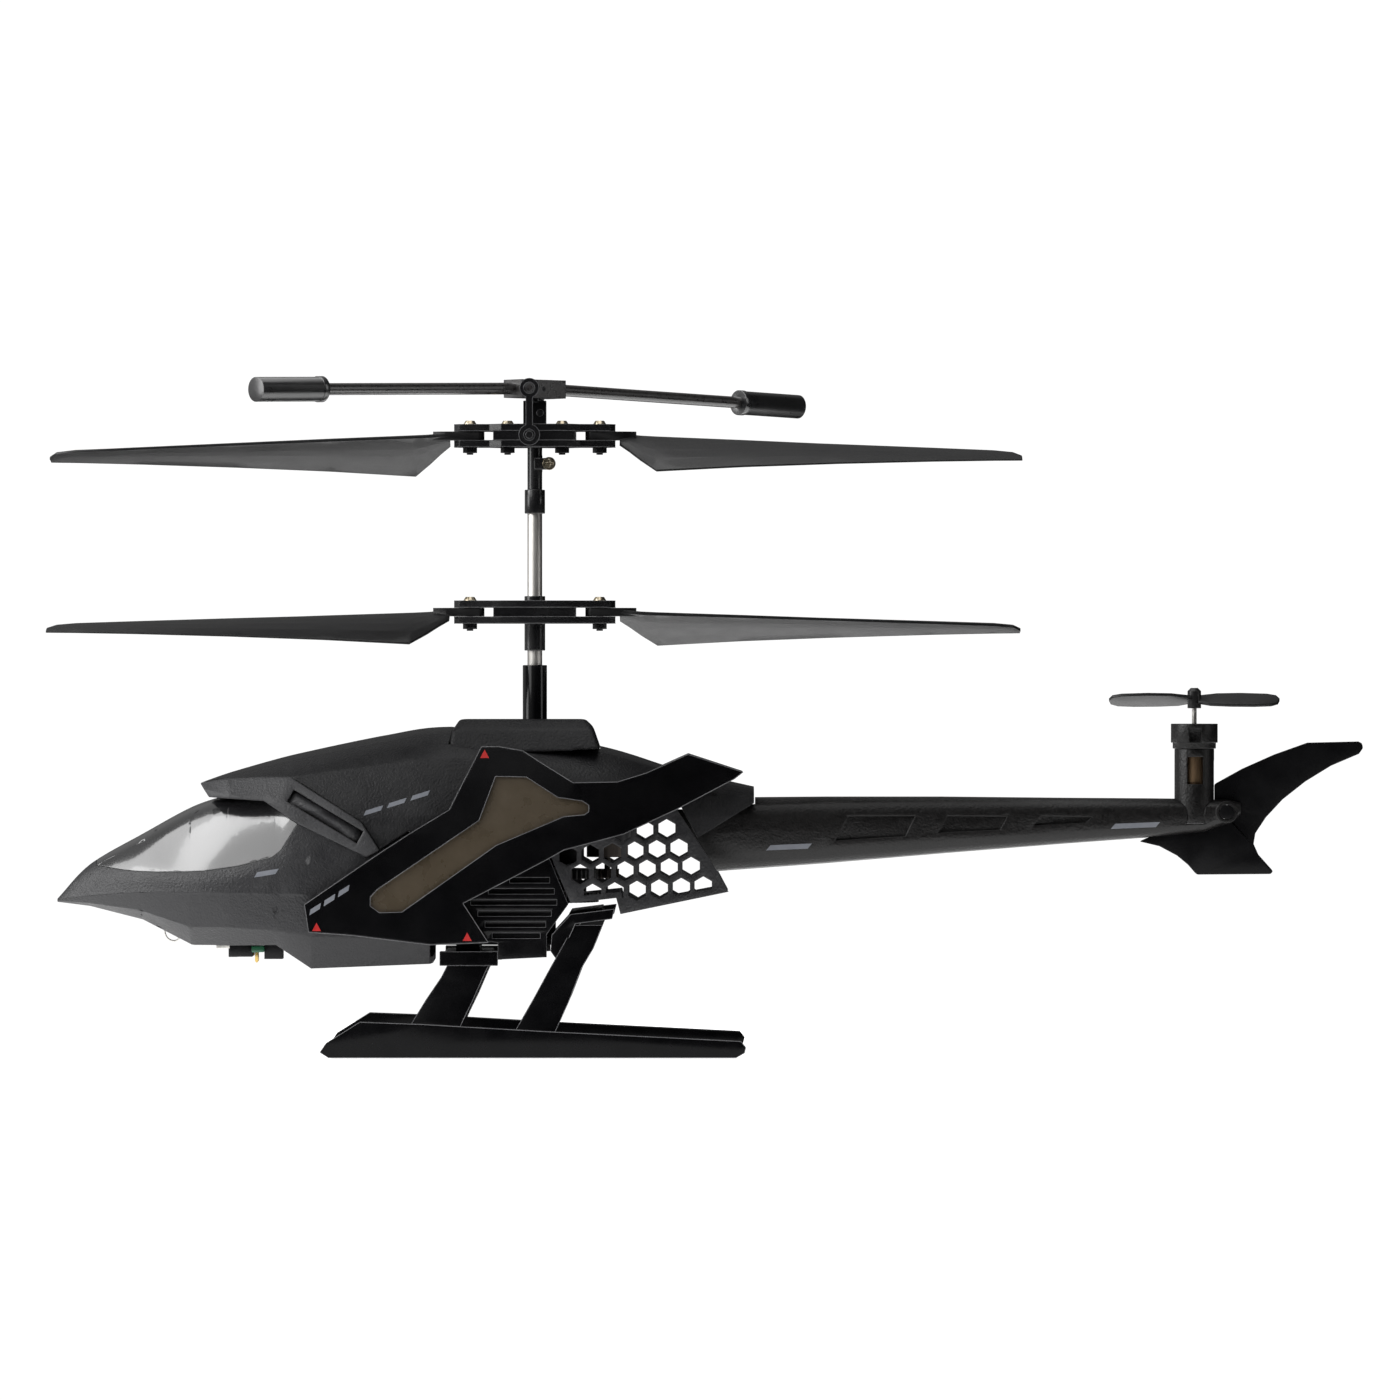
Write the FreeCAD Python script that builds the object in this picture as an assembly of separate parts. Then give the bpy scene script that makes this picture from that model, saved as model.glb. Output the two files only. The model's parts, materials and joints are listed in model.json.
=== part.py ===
"""Coaxial remote control helicopter, as an assembly of separate pieces, in millimetres.

Frame: +Z up, the nose towards -X, the tail towards +X and the left side towards -Y.
The origin is on the ground, under the middle of the length. The skids stand on z = 0.
"""

import FreeCAD
import Part
import math
import os

V = FreeCAD.Vector
X_AXIS, Y_AXIS, Z_AXIS = V(1, 0, 0), V(0, 1, 0), V(0, 0, 1)

# ---- driving dimensions -------------------------------------------------------------------
WALL = 1.2                  # moulded shell thickness
RUN = 0.06                  # radial clearance of a shaft in its bush

MAST_X = -28.9              # the rotor mast's axis
OUTER_R = 1.25              # outer shaft tube
INNER_R = 0.75              # inner shaft
SLEEVE_R = 2.05             # fixed sleeve round the outer shaft
SLEEVE_TOP = 65.4
OUTER_TOP = 91.6
BUSH_Z = (91.0, 95.0)       # bush at the top of the outer shaft
BUSH_R = 1.72

UPPER_Z = 104.1             # blade root plane of the upper rotor
LOWER_Z = 74.35             # blade root plane of the lower rotor
PIVOT_R = 10.95             # blade pivot screw from the mast
CLAMP_END = 13.6            # end of the clamp plates from the mast
ROOT_T = 1.4                # blade root thickness
PLATE_GAP = 1.6             # space between the clamp plates
PLATE_T = 1.1
BLADE_LEN = 71.2            # blade tip from its pivot screw

FLYBAR_ANGLE = 42.0         # flybar's direction from the blades, seen from above
FLYBAR_Z = 112.0
FLYBAR_HALF = 60.5
FLYBAR_DROOP = 1.5
WEIGHT_R, WEIGHT_LEN = 2.05, 14.0
LINK_Y = 6.2                # link rods stand this far to each side of the mast
LINK_X = -0.8               # and this far ahead of it
YOKE_SCREW_X = 4.6          # the yoke's inner screws from the mast
HEAD_SCREW_X = -26.45       # axis of the screw that clamps the head on its shaft

GEAR_TEETH, PINION_TEETH = 60, 10
GEAR_MODULE = 0.35
GEAR_T = 1.6
LOWER_GEAR_Z, UPPER_GEAR_Z = 25.4, 29.4
MOTOR_R, MOTOR_Z, MOTOR_LEN = 3.5, 33.0, 12.0   # the motors stand over the gears

TAIL_X = 82.5               # tail motor's axis
TAIL_POD_R = 3.35
TAIL_PROP_Z = 59.6

SKID_Y = 20.0               # middle of each skid runner
SKID_T = 3.0

PARTS = {}


# ---- helpers ------------------------------------------------------------------------------
def polygon(points, plane="xz", at=0.0):
    """A closed wire through points in a plane at the given offset."""
    place = {
        "xz": lambda a, b: V(a, at, b),
        "xy": lambda a, b: V(a, b, at),
        "yz": lambda a, b: V(at, a, b),
    }[plane]
    corners = [place(a, b) for a, b in points]
    return Part.makePolygon(corners + corners[:1])


def prism(points, low, high, plane="xz"):
    """A polygon made solid between two offsets along its plane's normal."""
    run = {"xz": Y_AXIS, "xy": Z_AXIS, "yz": X_AXIS}[plane] * (high - low)
    return Part.Face(polygon(points, plane, low)).extrude(run)


def box(x0, x1, y0, y1, z0, z1):
    return Part.makeBox(x1 - x0, y1 - y0, z1 - z0, V(x0, y0, z0))


def rod(radius, start, end):
    """A cylinder from one point to another."""
    start, end = V(*start), V(*end)
    return Part.makeCylinder(radius, (end - start).Length, start, end - start)


def tube(outer, inner, x, z0, z1, y=0.0):
    """An upright tube."""
    over = 1.0
    return rod(outer, (x, y, z0), (x, y, z1)).cut(rod(inner, (x, y, z0 - over), (x, y, z1 + over)))


def fuse(shapes):
    whole = shapes[0]
    for shape in shapes[1:]:
        whole = whole.fuse(shape)
    return whole.removeSplitter()


def mirror_y(shape):
    return shape.mirror(V(0, 0, 0), Y_AXIS)


def turned(shape, degrees, centre=(MAST_X, 0, 0), axis=Z_AXIS):
    copy = shape.copy()
    copy.rotate(V(*centre), axis, degrees)
    return copy


def ruled(sections):
    """A solid through closed sections of (x, [(y, z), ...])."""
    wires = [polygon(points, "yz", x) for x, points in sections]
    return Part.makeLoft(wires, True, True)


def whole_ring(half):
    """Half a section, from top centre to bottom centre, made into a closed ring."""
    return half + [(-y, z) for y, z in reversed(half) if y > 0]


def shrunk(half, wall):
    """The same half section, moved in by a wall thickness."""
    middle = (half[0][1] + half[-1][1]) / 2
    return [(max(y - wall, 0.0) if y > 0 else 0.0, z - wall if z > middle else z + wall) for y, z in half]


def biggest(shape):
    """The largest solid of a cut, without its loose slivers."""
    return max(shape.Solids, key=lambda solid: solid.Volume)


def keep(name, shape):
    PARTS[name] = shape


# ---- skin shapes --------------------------------------------------------------------------
# Each station: x, then half a section from the top centre, by the left crease, to the bottom.
HULL = [
    (-109.5, [(0, 26.0), (0.3, 25.95), (0.6, 25.9), (0.9, 25.75), (0.7, 25.6), (0.4, 25.45), (0, 25.4)]),
    (-104.0, [(0, 31.8), (2.0, 30.9), (3.2, 29.3), (4.4, 26.5), (3.2, 25.3), (1.6, 24.8), (0, 24.7)]),
    (-95.0, [(0, 37.0), (4.0, 35.6), (8.3, 31.0), (9.6, 27.2), (7.6, 24.2), (3.5, 22.6), (0, 22.4)]),
    (-86.5, [(0, 41.6), (6.0, 39.8), (12.2, 30.8), (13.3, 27.3), (11.2, 21.5), (6.5, 18.4), (0, 18.1)]),
    (-80.0, [(0, 43.6), (8.6, 41.9), (14.2, 31.4), (15.2, 27.3), (13.8, 21.5), (9.5, 18.3), (0, 18.1)]),
    (-72.0, [(0, 45.2), (11.2, 42.4), (15.9, 33.5), (16.5, 27.2), (15.6, 21.0), (13.0, 18.5), (0, 18.4)]),
    (-66.0, [(0, 46.2), (13.2, 42.8), (16.2, 35.2), (17.0, 27.0), (16.4, 20.0), (14.6, 14.6), (0, 14.2)]),
    (-46.0, [(0, 46.6), (13.8, 43.0), (16.2, 36.6), (17.0, 27.0), (16.4, 19.5), (15.0, 15.4), (0, 15.1)]),
    (-27.0, [(0, 46.6), (13.8, 43.0), (16.2, 36.6), (17.0, 27.0), (16.4, 19.5), (15.0, 16.6), (0, 16.3)]),
]
# The roof, from its ridge down to the bottom of its skirt.
ROOF = [
    (-85.2, [(0, 45.6), (3.0, 45.5), (5.4, 45.0), (7.0, 44.2), (7.8, 42.8)]),
    (-80.0, [(0, 47.4), (5.2, 46.9), (9.2, 45.6), (11.4, 43.0), (12.4, 39.6)]),
    (-70.0, [(0, 50.2), (6.4, 49.3), (11.6, 46.6), (14.6, 41.4), (15.6, 35.0)]),
    (-55.0, [(0, 53.4), (6.8, 52.3), (12.6, 48.6), (16.4, 39.8), (17.2, 32.5)]),
    (-43.0, [(0, 55.0), (7.0, 54.0), (12.8, 49.8), (16.6, 40.2), (17.2, 32.5)]),
    (-18.0, [(0, 51.8), (6.5, 50.8), (11.8, 47.5), (15.6, 40.0), (16.2, 33.5)]),
    (-5.0, [(0, 47.9), (5.0, 47.1), (9.0, 44.5), (11.2, 40.0), (12.0, 34.5)]),
    (8.1, [(0, 44.9), (3.0, 44.5), (5.0, 43.4), (5.6, 40.5), (5.8, 36.0)]),
]
# The side armour's outer face: x, then (y, z) from the bottom to the top.
ARMOUR = [
    (-70.0, [(19.0, 15.0), (19.1, 21.0), (19.0, 28.0), (18.5, 37.0), (16.4, 46.5), (14.0, 52.5)]),
    (-22.0, [(19.0, 15.0), (19.1, 21.0), (19.0, 28.0), (18.5, 37.0), (16.4, 46.5), (14.0, 52.5)]),
    (8.0, [(9.6, 15.0), (9.7, 21.0), (9.6, 28.0), (9.1, 37.0), (8.6, 46.5), (8.0, 52.5)]),
]
# Outlines in the side view.
WINDOW = [
    (-102.6, 31.5), (-98.0, 30.9), (-92.0, 30.6), (-84.0, 30.9), (-78.0, 31.8), (-72.5, 33.2), (-70.9, 34.4),
    (-67.9, 38.8), (-73.9, 42.7), (-83.3, 43.4), (-84.4, 46.0), (-104.0, 40.0),
]
FRAME_BAR = [
    (-84.9, 45.5), (-81.0, 46.2), (-75.0, 46.5), (-69.6, 46.5), (-57.6, 39.0), (-54.6, 34.4), (-56.6, 33.4),
    (-67.9, 38.8), (-73.9, 42.7), (-83.3, 43.3),
]
BAR_SLOT = [(-68.9, 44.6), (-57.0, 37.6), (-58.2, 35.4), (-70.2, 42.5)]
ARMOUR_EDGE = [
    (-37.5, 51.7), (-40.8, 45.2), (-42.8, 41.2), (-49.4, 37.2), (-54.5, 33.9), (-66.9, 25.4), (-66.2, 20.8),
    (-59.2, 20.3), (-45.9, 18.7), (-36.3, 19.1), (-40.5, 25.6), (-26.7, 32.8), (-23.7, 34.5), (-13.8, 37.1),
    (-4.9, 41.2), (4.8, 46.3), (6.2, 47.4), (-3.0, 50.4), (-9.9, 47.3), (-14.8, 45.8), (-22.2, 45.7),
    (-27.7, 49.1), (-30.6, 51.0), (-34.6, 51.7),
]
LENS_EDGE = [
    (-35.1, 46.7), (-30.0, 46.6), (-24.7, 43.2), (-20.6, 42.6), (-19.6, 41.9), (-19.6, 40.9), (-20.3, 40.4),
    (-23.7, 40.1), (-35.0, 35.3), (-50.7, 24.2), (-54.4, 24.1), (-55.9, 25.2), (-55.9, 26.6), (-54.7, 27.9),
    (-37.8, 39.4),
]
VENT_EDGE = [
    (-41.5, 25.4), (-26.4, 33.6), (-23.0, 25.4), (-26.6, 20.4), (-26.6, 16.6), (-34.7, 16.2), (-34.7, 19.0),
    (-37.2, 19.3),
]
GRILLE_EDGE = [
    (-26.0, 33.6), (-24.0, 36.2), (-14.0, 39.0), (-5.6, 42.4), (-4.9, 41.2), (2.2, 30.3), (3.8, 27.3),
    (-14.3, 23.7), (-15.0, 26.4), (-22.6, 25.6),
]
BOOM = [  # x, top z, bottom z, half width
    (-6.0, 43.0, 30.0, 4.6), (20.0, 43.2, 31.9, 4.3), (40.0, 43.2, 33.6, 3.9), (60.0, 43.0, 35.2, 3.5),
    (75.0, 42.9, 36.3, 3.3), (84.0, 42.8, 37.2, 3.1), (88.0, 42.7, 38.6, 2.8), (90.2, 42.2, 40.0, 2.4),
]
BOOM_WINDOWS = [
    [(21.8, 35.8), (24.0, 40.0), (35.3, 40.0), (33.6, 36.5)],
    [(39.1, 37.1), (40.7, 40.0), (50.8, 39.9), (49.6, 37.6)],
    [(55.2, 38.3), (56.5, 40.0), (65.1, 39.8), (64.0, 38.8)],
]
FAR = 40.0                  # further out than any skin


def skin(stations, wall, out=0.0):
    """The hollow skin through the stations: its outer face moved out by `out`, and `wall` thick."""
    outer = ruled([(x, whole_ring(shrunk(half, -out) if out else half)) for x, half in stations])
    ends = 0.01
    inner = [(x, whole_ring(shrunk(half, wall - out))) for x, half in stations]
    first, last = inner[0], inner[-1]
    inner[0] = (first[0] - ends, first[1])
    inner[-1] = (last[0] + ends, last[1])
    return outer.cut(ruled(inner))


def side_slab(depth, thick):
    """A bent sheet along the left side: its outer face `depth` inside the armour's outer face."""
    sections = []
    for x, edge in ARMOUR:
        outer = [(-(y - depth), z) for y, z in edge]
        inner = [(-(y - depth - thick), z) for y, z in reversed(edge)]
        sections.append((x, outer + inner))
    return ruled(sections)


def left_region(points):
    return prism(points, -FAR, 0.0)


def both_regions(points):
    return prism(points, -FAR, FAR)


def grown(points, by):
    """An outline grown (or, below zero, shrunk) by a distance."""
    wire = polygon(points).makeOffset2D(by, 2)
    return [(v.X, v.Z) for v in wire.OrderedVertexes]


# ---- fuselage -----------------------------------------------------------------------------
def make_shells():
    """The two halves of the lower fuselage, split on the middle plane."""
    stations = [(x, half) for x, half in HULL]
    tip_x, tail = stations[0][0], stations[1:]
    body = skin(tail, WALL)
    nose = ruled([(tip_x, whole_ring(stations[0][1])), (tail[0][0], whole_ring(tail[0][1]))])
    body = fuse([body, nose])
    under_roof = [(-90.0, 60.0), (-90.0, 44.0), (-83.3, 43.4), (-73.9, 42.7), (-67.9, 38.8), (-56.6, 33.4),
                  (-54.6, 34.3), (-50.0, 37.4), (-43.0, 38.0), (-20.0, 38.0), (-20.0, 60.0)]
    body = body.cut(both_regions(under_roof)).cut(both_regions(grown(WINDOW, 0.05)))
    belly = [(-42.1, 25.3), (-26.0, 33.9), (-26.0, 14.0), (-46.1, 14.0), (-46.1, 18.6), (-37.8, 19.1)]
    body = body.cut(both_regions(belly))
    body = body.cut(box(-83.4, -70.8, -5.6, 5.6, 16.0, 19.7))
    right = body.common(box(-120, 0, 0.0, FAR, 0, 60))
    left = body.common(box(-120, 0, -FAR, 0.0, 0, 60))
    for x, z in SHELL_SCREWS:
        face = SCREW_FACE[x] + 0.05
        right = right.cut(rod(0.52, (x, 5, z), (x, FAR, z))).cut(rod(1.05, (x, face, z), (x, FAR, z)))
    keep("fuselage_shell_left", left)
    keep("fuselage_shell_right", right)


SHELL_SCREWS = [(-96.0, 26.6), (-76.0, 25.0), (-60.0, 17.4)]
SCREW_FACE = {-96.0: 8.6, -76.0: 15.2, -60.0: 14.9}


def make_shell_screws():
    """Three self-tapping screws that close the halves, driven from the right side."""
    screws = []
    for x, z in SHELL_SCREWS:
        face = SCREW_FACE[x] + 0.05
        screw_head = rod(1.0, (x, face, z), (x, face + 0.6, z))
        screws.append(screw_head.fuse(rod(0.5, (x, face - 5.0, z), (x, face, z))))
    keep("shell_screws", Part.makeCompound(screws))


def make_canopy():
    glass = skin(HULL[1:7], 0.9).common(both_regions(WINDOW))
    keep("canopy_window", glass)
    proud = 0.8
    under = [(x, [(y - 2.0 if y > 2.0 else 0.0, z - 2.0) for y, z in half[:-1]] +
              [(half[-1][0] - 2.0, half[-1][1] - 4.0), (0.0, half[-1][1] - 4.0)]) for x, half in ROOF[:5]]
    over = [(x, [(y + proud if y else 0.0, z + proud * 0.6) for y, z in half] +
             [(half[-1][0] + proud, half[-1][1] - 3.0), (0.0, half[-1][1] - 3.0)]) for x, half in ROOF[:5]]
    solid = ruled([(x, whole_ring(half)) for x, half in over])
    hollow = ruled([(x, whole_ring(half)) for x, half in under])
    bar = solid.cut(hollow).common(both_regions(grown(FRAME_BAR, -0.03)))
    bar = bar.cut(PARTS["fuselage_shell_left"]).cut(PARTS["fuselage_shell_right"]).cut(glass)
    shallow = [(x, [(y - 0.5, z - 0.3) if k < len(half) - 1 else (y, z) for k, (y, z) in enumerate(half)])
               for x, half in over]
    shallow = [(x, [(max(y, 0.0), z) for y, z in half]) for x, half in shallow]
    slot = both_regions(BAR_SLOT).cut(ruled([(x, whole_ring(half)) for x, half in shallow]))
    keep("canopy_frame", biggest(bar.cut(slot)))


def make_roof():
    """The roof cowl: a skin open below, with a seat for the mast cowl and its sleeve."""
    outer, inner = [], []
    for x, half in ROOF:
        last_y, last_z = half[-1]
        outer.append((x, whole_ring(half + [(0.0, last_z)])))
        lowered = [(max(y - WALL, 0.0) if y > 0 else 0.0, z - WALL) for y, z in half[:-1]]
        lowered += [(last_y - WALL, last_z - 2.0), (0.0, last_z - 2.0)]
        inner.append((x, whole_ring(lowered)))
    inner[-1] = (inner[-1][0] + 0.1, inner[-1][1])
    roof = ruled(outer).cut(ruled(inner))
    region = [(-85.4, 45.55), (-81.0, 46.25), (-69.5, 46.55), (-57.5, 39.05), (-54.5, 34.45), (-49.9, 37.5),
              (-43.0, 38.1), (-20.0, 38.1), (-14.0, 39.6), (-4.2, 41.6), (-1.4, 36.4), (8.2, 42.2),
              (8.2, 60.0), (-85.4, 60.0)]
    roof = roof.common(both_regions(region))
    roof = roof.cut(rod(SLEEVE_R + 0.2, (MAST_X, 0, 30), (MAST_X, 0, 60)))
    roof = roof.cut(make_mast_block(0.0).common(box(-60, 0, -20, 20, 50, 60)))
    for depth, thick, edge in ((-1.0, 2.55, ARMOUR_EDGE), (0.8, 2.25, GRILLE_EDGE)):
        room = side_slab(depth, thick).common(left_region(grown(edge, 0.05)))
        roof = roof.cut(room).cut(mirror_y(room))
    keep("roof_cowl", biggest(roof.cut(PARTS["canopy_frame"])))


def make_mast_block(shrink):
    """The raised block round the mast, on the roof."""
    s = shrink
    side = [(-43.4 + s, 50.6), (-42.6 + s, 54.4), (-41.4 + s, 56.3 - s), (-20.4 - s, 56.3 - s),
            (-19.1 - s, 55.0), (-17.8 - s, 51.2), (-27.0, 50.7)]
    end = [(-10.6 + s, 50.6), (-8.6 + s, 54.6), (-6.6 + s, 56.3 - s), (6.6 - s, 56.3 - s), (8.6 - s, 54.6),
           (10.6 - s, 50.6)]
    return prism(side, -FAR, FAR).common(prism(end, -60, 0, "yz"))


def make_mast_cowl():
    block = make_mast_block(0.0).cut(make_mast_block(WALL))
    hollow = box(-42.0, -19.4, -9.2, 9.2, 49.0, 52.0)
    keep("mast_cowl", block.cut(hollow).cut(rod(SLEEVE_R + 0.1, (MAST_X, 0, 40), (MAST_X, 0, 60))))


def make_side_panels():
    """Armour panel, light window, louvred vent and hexagon grille, on each side."""
    armour = side_slab(0.0, 1.5).common(left_region(ARMOUR_EDGE))
    armour = armour.cut(left_region(grown(LENS_EDGE, 0.05)))
    lens = side_slab(0.4, 1.0).common(left_region(LENS_EDGE))
    vent = side_slab(1.9, 1.3).common(left_region(VENT_EDGE))
    for n in range(6):
        z = 19.7 + n * 1.85
        left_end = -35.3 - (z - 19.1) * 0.646 if z < 25.6 else -39.2 + (z - 25.6) * 1.917
        right_end = -28.0 + (z - 19.0) * 0.5 if z < 25.4 else -24.6 - (z - 25.4) * 0.415
        slat = prism([(left_end, z), (right_end, z), (right_end, z + 0.95), (left_end, z + 0.95)], -FAR, 0.0)
        vent = vent.cut(slat.common(side_slab(1.8, 0.8)))
    grille = side_slab(2.0, 1.0).common(left_region(GRILLE_EDGE))
    grille = grille.cut(Part.makeCompound(hexagons()))
    panels = {"side_armour": armour, "light_window": lens, "side_vent": vent, "hex_grille": grille}
    for name, shape in panels.items():
        keep(name + "_left", shape)
        keep(name + "_right", mirror_y(shape))


def hexagons():
    """The grille's holes, on a slightly tilted hexagonal grid, cut off where they meet its border."""
    across, row_pitch, tilt, radius, border, smallest = 3.70, 3.28, 0.06, 1.68, 1.0, 3.0
    inside = left_region(grown(GRILLE_EDGE, -border))
    holes = []
    for row in range(5):
        for column in range(-2, 8):
            x = -24.5 + column * across + ((row + 1) % 2) * across / 2 - row * 0.2
            z = 26.9 + row * row_pitch + column * across * tilt
            corners = []
            for k in range(6):
                angle = math.radians(30 + 60 * k)
                corners.append((x + radius * math.cos(angle), z + radius * math.sin(angle)))
            hole = left_region(corners).common(inside)
            if hole.Volume > smallest * FAR:
                holes.append(hole)
    return holes


# ---- tail ---------------------------------------------------------------------------------
def boom_loft(inset, sides=16):
    """The tail boom's rounded section, moved in by a distance."""
    sections = []
    for x, top, bottom, half in BOOM:
        middle, rise = (top + bottom) / 2, (top - bottom) / 2 - inset
        ring = []
        for k in range(sides):
            angle = 2 * math.pi * k / sides
            c, s = math.cos(angle), math.sin(angle)
            power = 0.7
            ring.append((math.copysign(abs(c) ** power, c) * (half - inset),
                         middle + math.copysign(abs(s) ** power, s) * rise))
        sections.append((x, ring))
    return ruled(sections)


def make_boom():
    """Two halves of the hollow tail boom, with window recesses, a fin slot and a motor seat."""
    hollow = boom_loft(1.0).common(box(-10, 84, -FAR, FAR, 0, 60))
    boom = boom_loft(0.0).cut(hollow)
    boom = boom.cut(both_regions([(-10, 60), (-10, 20), (8.8, 20), (-6.2, 43.2), (-6.2, 60)]))
    boom = boom.cut(both_regions([(-10, 60), (-10, 41.0), (-4.0, 41.0), (8.3, 41.9), (8.3, 60)]))
    for corners in BOOM_WINDOWS:
        pocket = both_regions(corners).cut(boom_loft(0.7))
        boom = boom.cut(pocket)
    boom = boom.cut(rod(TAIL_POD_R + 0.02, (TAIL_X, 0, 38.6), (TAIL_X, 0, 60)))
    boom = boom.cut(prism(grown(FIN_EDGE, 0.1), -0.55, 0.55))
    for side in (-1, 1):
        boss = rod(1.85, (FIN_PIN[0], side * 1.2, FIN_PIN[1]), (FIN_PIN[0], side * 3.3, FIN_PIN[1]))
        boom = boom.fuse(boss)
    boom = boom.cut(rod(1.25, (FIN_PIN[0], -9, FIN_PIN[1]), (FIN_PIN[0], 9, FIN_PIN[1])))
    keep("tail_boom_left", boom.common(box(-20, 120, -FAR, 0, 0, 60)))
    keep("tail_boom_right", boom.common(box(-20, 120, 0, FAR, 0, 60)))


FIN_PIN = (87.8, 40.6)
FIN_EDGE = [
    (73.2, 35.6), (76.6, 34.8), (79.6, 33.2), (81.4, 31.7), (82.9, 30.0), (95.4, 30.1), (95.8, 30.6),
    (93.3, 33.4), (92.5, 35.2), (92.8, 37.0), (94.6, 39.7), (97.4, 42.7), (101.2, 45.7), (105.6, 48.4),
    (110.3, 50.4), (111.0, 51.4), (110.8, 52.2), (110.2, 52.5), (101.6, 52.3), (96.0, 50.3), (90.6, 47.9),
    (85.9, 45.3), (85.9, 38.6), (82.0, 37.6), (76.0, 36.9),
]


def make_fin():
    fin = prism(FIN_EDGE, -0.5, 0.5)
    hole = rod(1.25, (FIN_PIN[0], -2, FIN_PIN[1]), (FIN_PIN[0], 2, FIN_PIN[1]))
    keep("tail_fin", fin.cut(hole))
    keep("tail_fin_pin", rod(1.2, (FIN_PIN[0], -3.4, FIN_PIN[1]), (FIN_PIN[0], 3.4, FIN_PIN[1])))


def make_tail_motor():
    """The upright motor pod with its side windows, its cap, the motor and the pusher propeller."""
    pod = tube(TAIL_POD_R, 2.55, TAIL_X, 40.2, 51.28)
    pod = pod.fuse(rod(TAIL_POD_R, (TAIL_X, 0, 38.7), (TAIL_X, 0, 40.2)))
    pod = pod.cut(box(TAIL_X - 1.3, TAIL_X + 1.3, -5, 5, 45.3, 49.9))
    pod = pod.cut(prism([(86.0, 36.0), (86.0, 50.0), (84.6, 44.8), (84.6, 36.0)], -0.6, 0.6))
    keep("tail_motor_pod", pod)
    cap = tube(3.95, 2.6, TAIL_X, 51.3, 55.5)
    cap = cap.cut(tube(5.0, 3.65, TAIL_X, 51.0, 52.3))
    cap = fuse([cap, tube(3.0, 0.9, TAIL_X, 54.9, 55.5)])
    cap = cap.cut(box(TAIL_X - 1.0, TAIL_X + 1.0, -5.0, -3.1, 52.4, 54.6))
    keep("tail_motor_cap", cap)
    keep("tail_motor", rod(2.5, (TAIL_X, 0, 40.3), (TAIL_X, 0, 54.6)))
    keep("tail_motor_shaft", rod(0.4, (TAIL_X, 0, 54.7), (TAIL_X, 0, 60.6)))
    keep("tail_propeller", tail_propeller())


def tail_propeller():
    """Two rounded blades with opposite pitch on a small hub, bored for the motor shaft."""
    hub = tube(1.15, 0.41, TAIL_X, 58.1, 60.7).fuse(rod(1.15, (TAIL_X, 0, 60.7), (TAIL_X, 0, 61.0)))
    hub = hub.fuse(Part.makeCone(1.15, 0.6, 0.55, V(TAIL_X, 0, 61.0)))
    outline = Part.Face(polygon([(0.6, -1.6), (2.6, -2.7), (6.0, -3.1), (10.0, -3.2), (12.8, -2.9),
                                 (14.0, -1.9), (14.4, -0.2), (13.9, 1.5), (12.4, 2.3), (8.0, 2.7),
                                 (4.0, 2.5), (0.6, 1.4)], "xy", -0.25))
    blade = outline.extrude(Z_AXIS * 0.5)
    blade.rotate(V(0, 0, 0), X_AXIS, 19)
    blade.translate(V(TAIL_X, 0, TAIL_PROP_Z))
    other = turned(blade, 180, (TAIL_X, 0, 0))
    return fuse([hub, blade, other]).cut(rod(0.41, (TAIL_X, 0, 57), (TAIL_X, 0, 60.65)))


# ---- landing gear -------------------------------------------------------------------------
def make_skids():
    """A runner with two swept struts and their clip pads on each side, and two bridges between."""
    runner = [(-64.2, 0.9), (-62.8, 0.0), (5.0, 0.0), (6.4, 0.8), (6.6, 1.7), (5.8, 2.7), (-28.0, 4.4),
              (-47.0, 5.5), (-57.6, 5.9), (-63.2, 2.4)]
    half = SKID_T / 2
    skid = prism(runner, -SKID_Y - half, -SKID_Y + half)
    top_y = 15.6
    for levels in STRUTS:
        skid = skid.fuse(strut(levels, top_y))
    front_pad = box(-44.4, -34.8, -17.2, -13.4, 15.2, 17.5)
    rear_pad = prism([(-25.7, 20.3), (-25.9, 17.6), (-24.9, 16.2), (-23.4, 18.6), (-21.8, 22.2),
                      (-15.7, 23.0), (-15.3, 24.6), (-22.6, 23.7)], -17.2, -13.4)
    skid = fuse([skid, front_pad, rear_pad])
    keep("skid_left", skid)
    keep("skid_right", mirror_y(skid))
    front = box(-44.0, -36.0, -13.35, 13.35, 15.6, 17.3)
    rear = prism([(-25.6, 17.4), (-23.8, 16.8), (-20.8, 22.5), (-17.2, 23.4), (-17.4, 24.7), (-22.8, 24.0)],
                 -13.35, 13.35)
    keep("skid_bridges", Part.makeCompound([front, rear]))


STRUTS = [  # for each strut, the height, front edge and back edge of its levels from the foot up
    [(4.3, -49.7, -41.3), (6.3, -48.6, -40.4), (9.6, -46.6, -38.8), (13.3, -44.1, -37.2),
     (15.7, -42.9, -36.1)],
    [(3.4, -32.3, -25.5), (9.2, -29.0, -22.9), (14.9, -25.9, -20.7), (18.1, -24.1, -18.8),
     (21.9, -22.0, -17.3)],
]


def strut(levels, top_y):
    """One strut: a slanted, curved bar that leans in from the runner to the fuselage."""
    low, high = levels[0][0], levels[-1][0]
    wires = []
    for z, front, back in levels:
        share = (z - low) / (high - low)
        y = SKID_Y + (top_y - SKID_Y) * share
        corners = [(front, -y - 1.1), (back, -y - 1.1), (back, -y + 1.1), (front, -y + 1.1)]
        wires.append(polygon(corners, "xy", z))
    return Part.makeLoft(wires, True, True)


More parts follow.
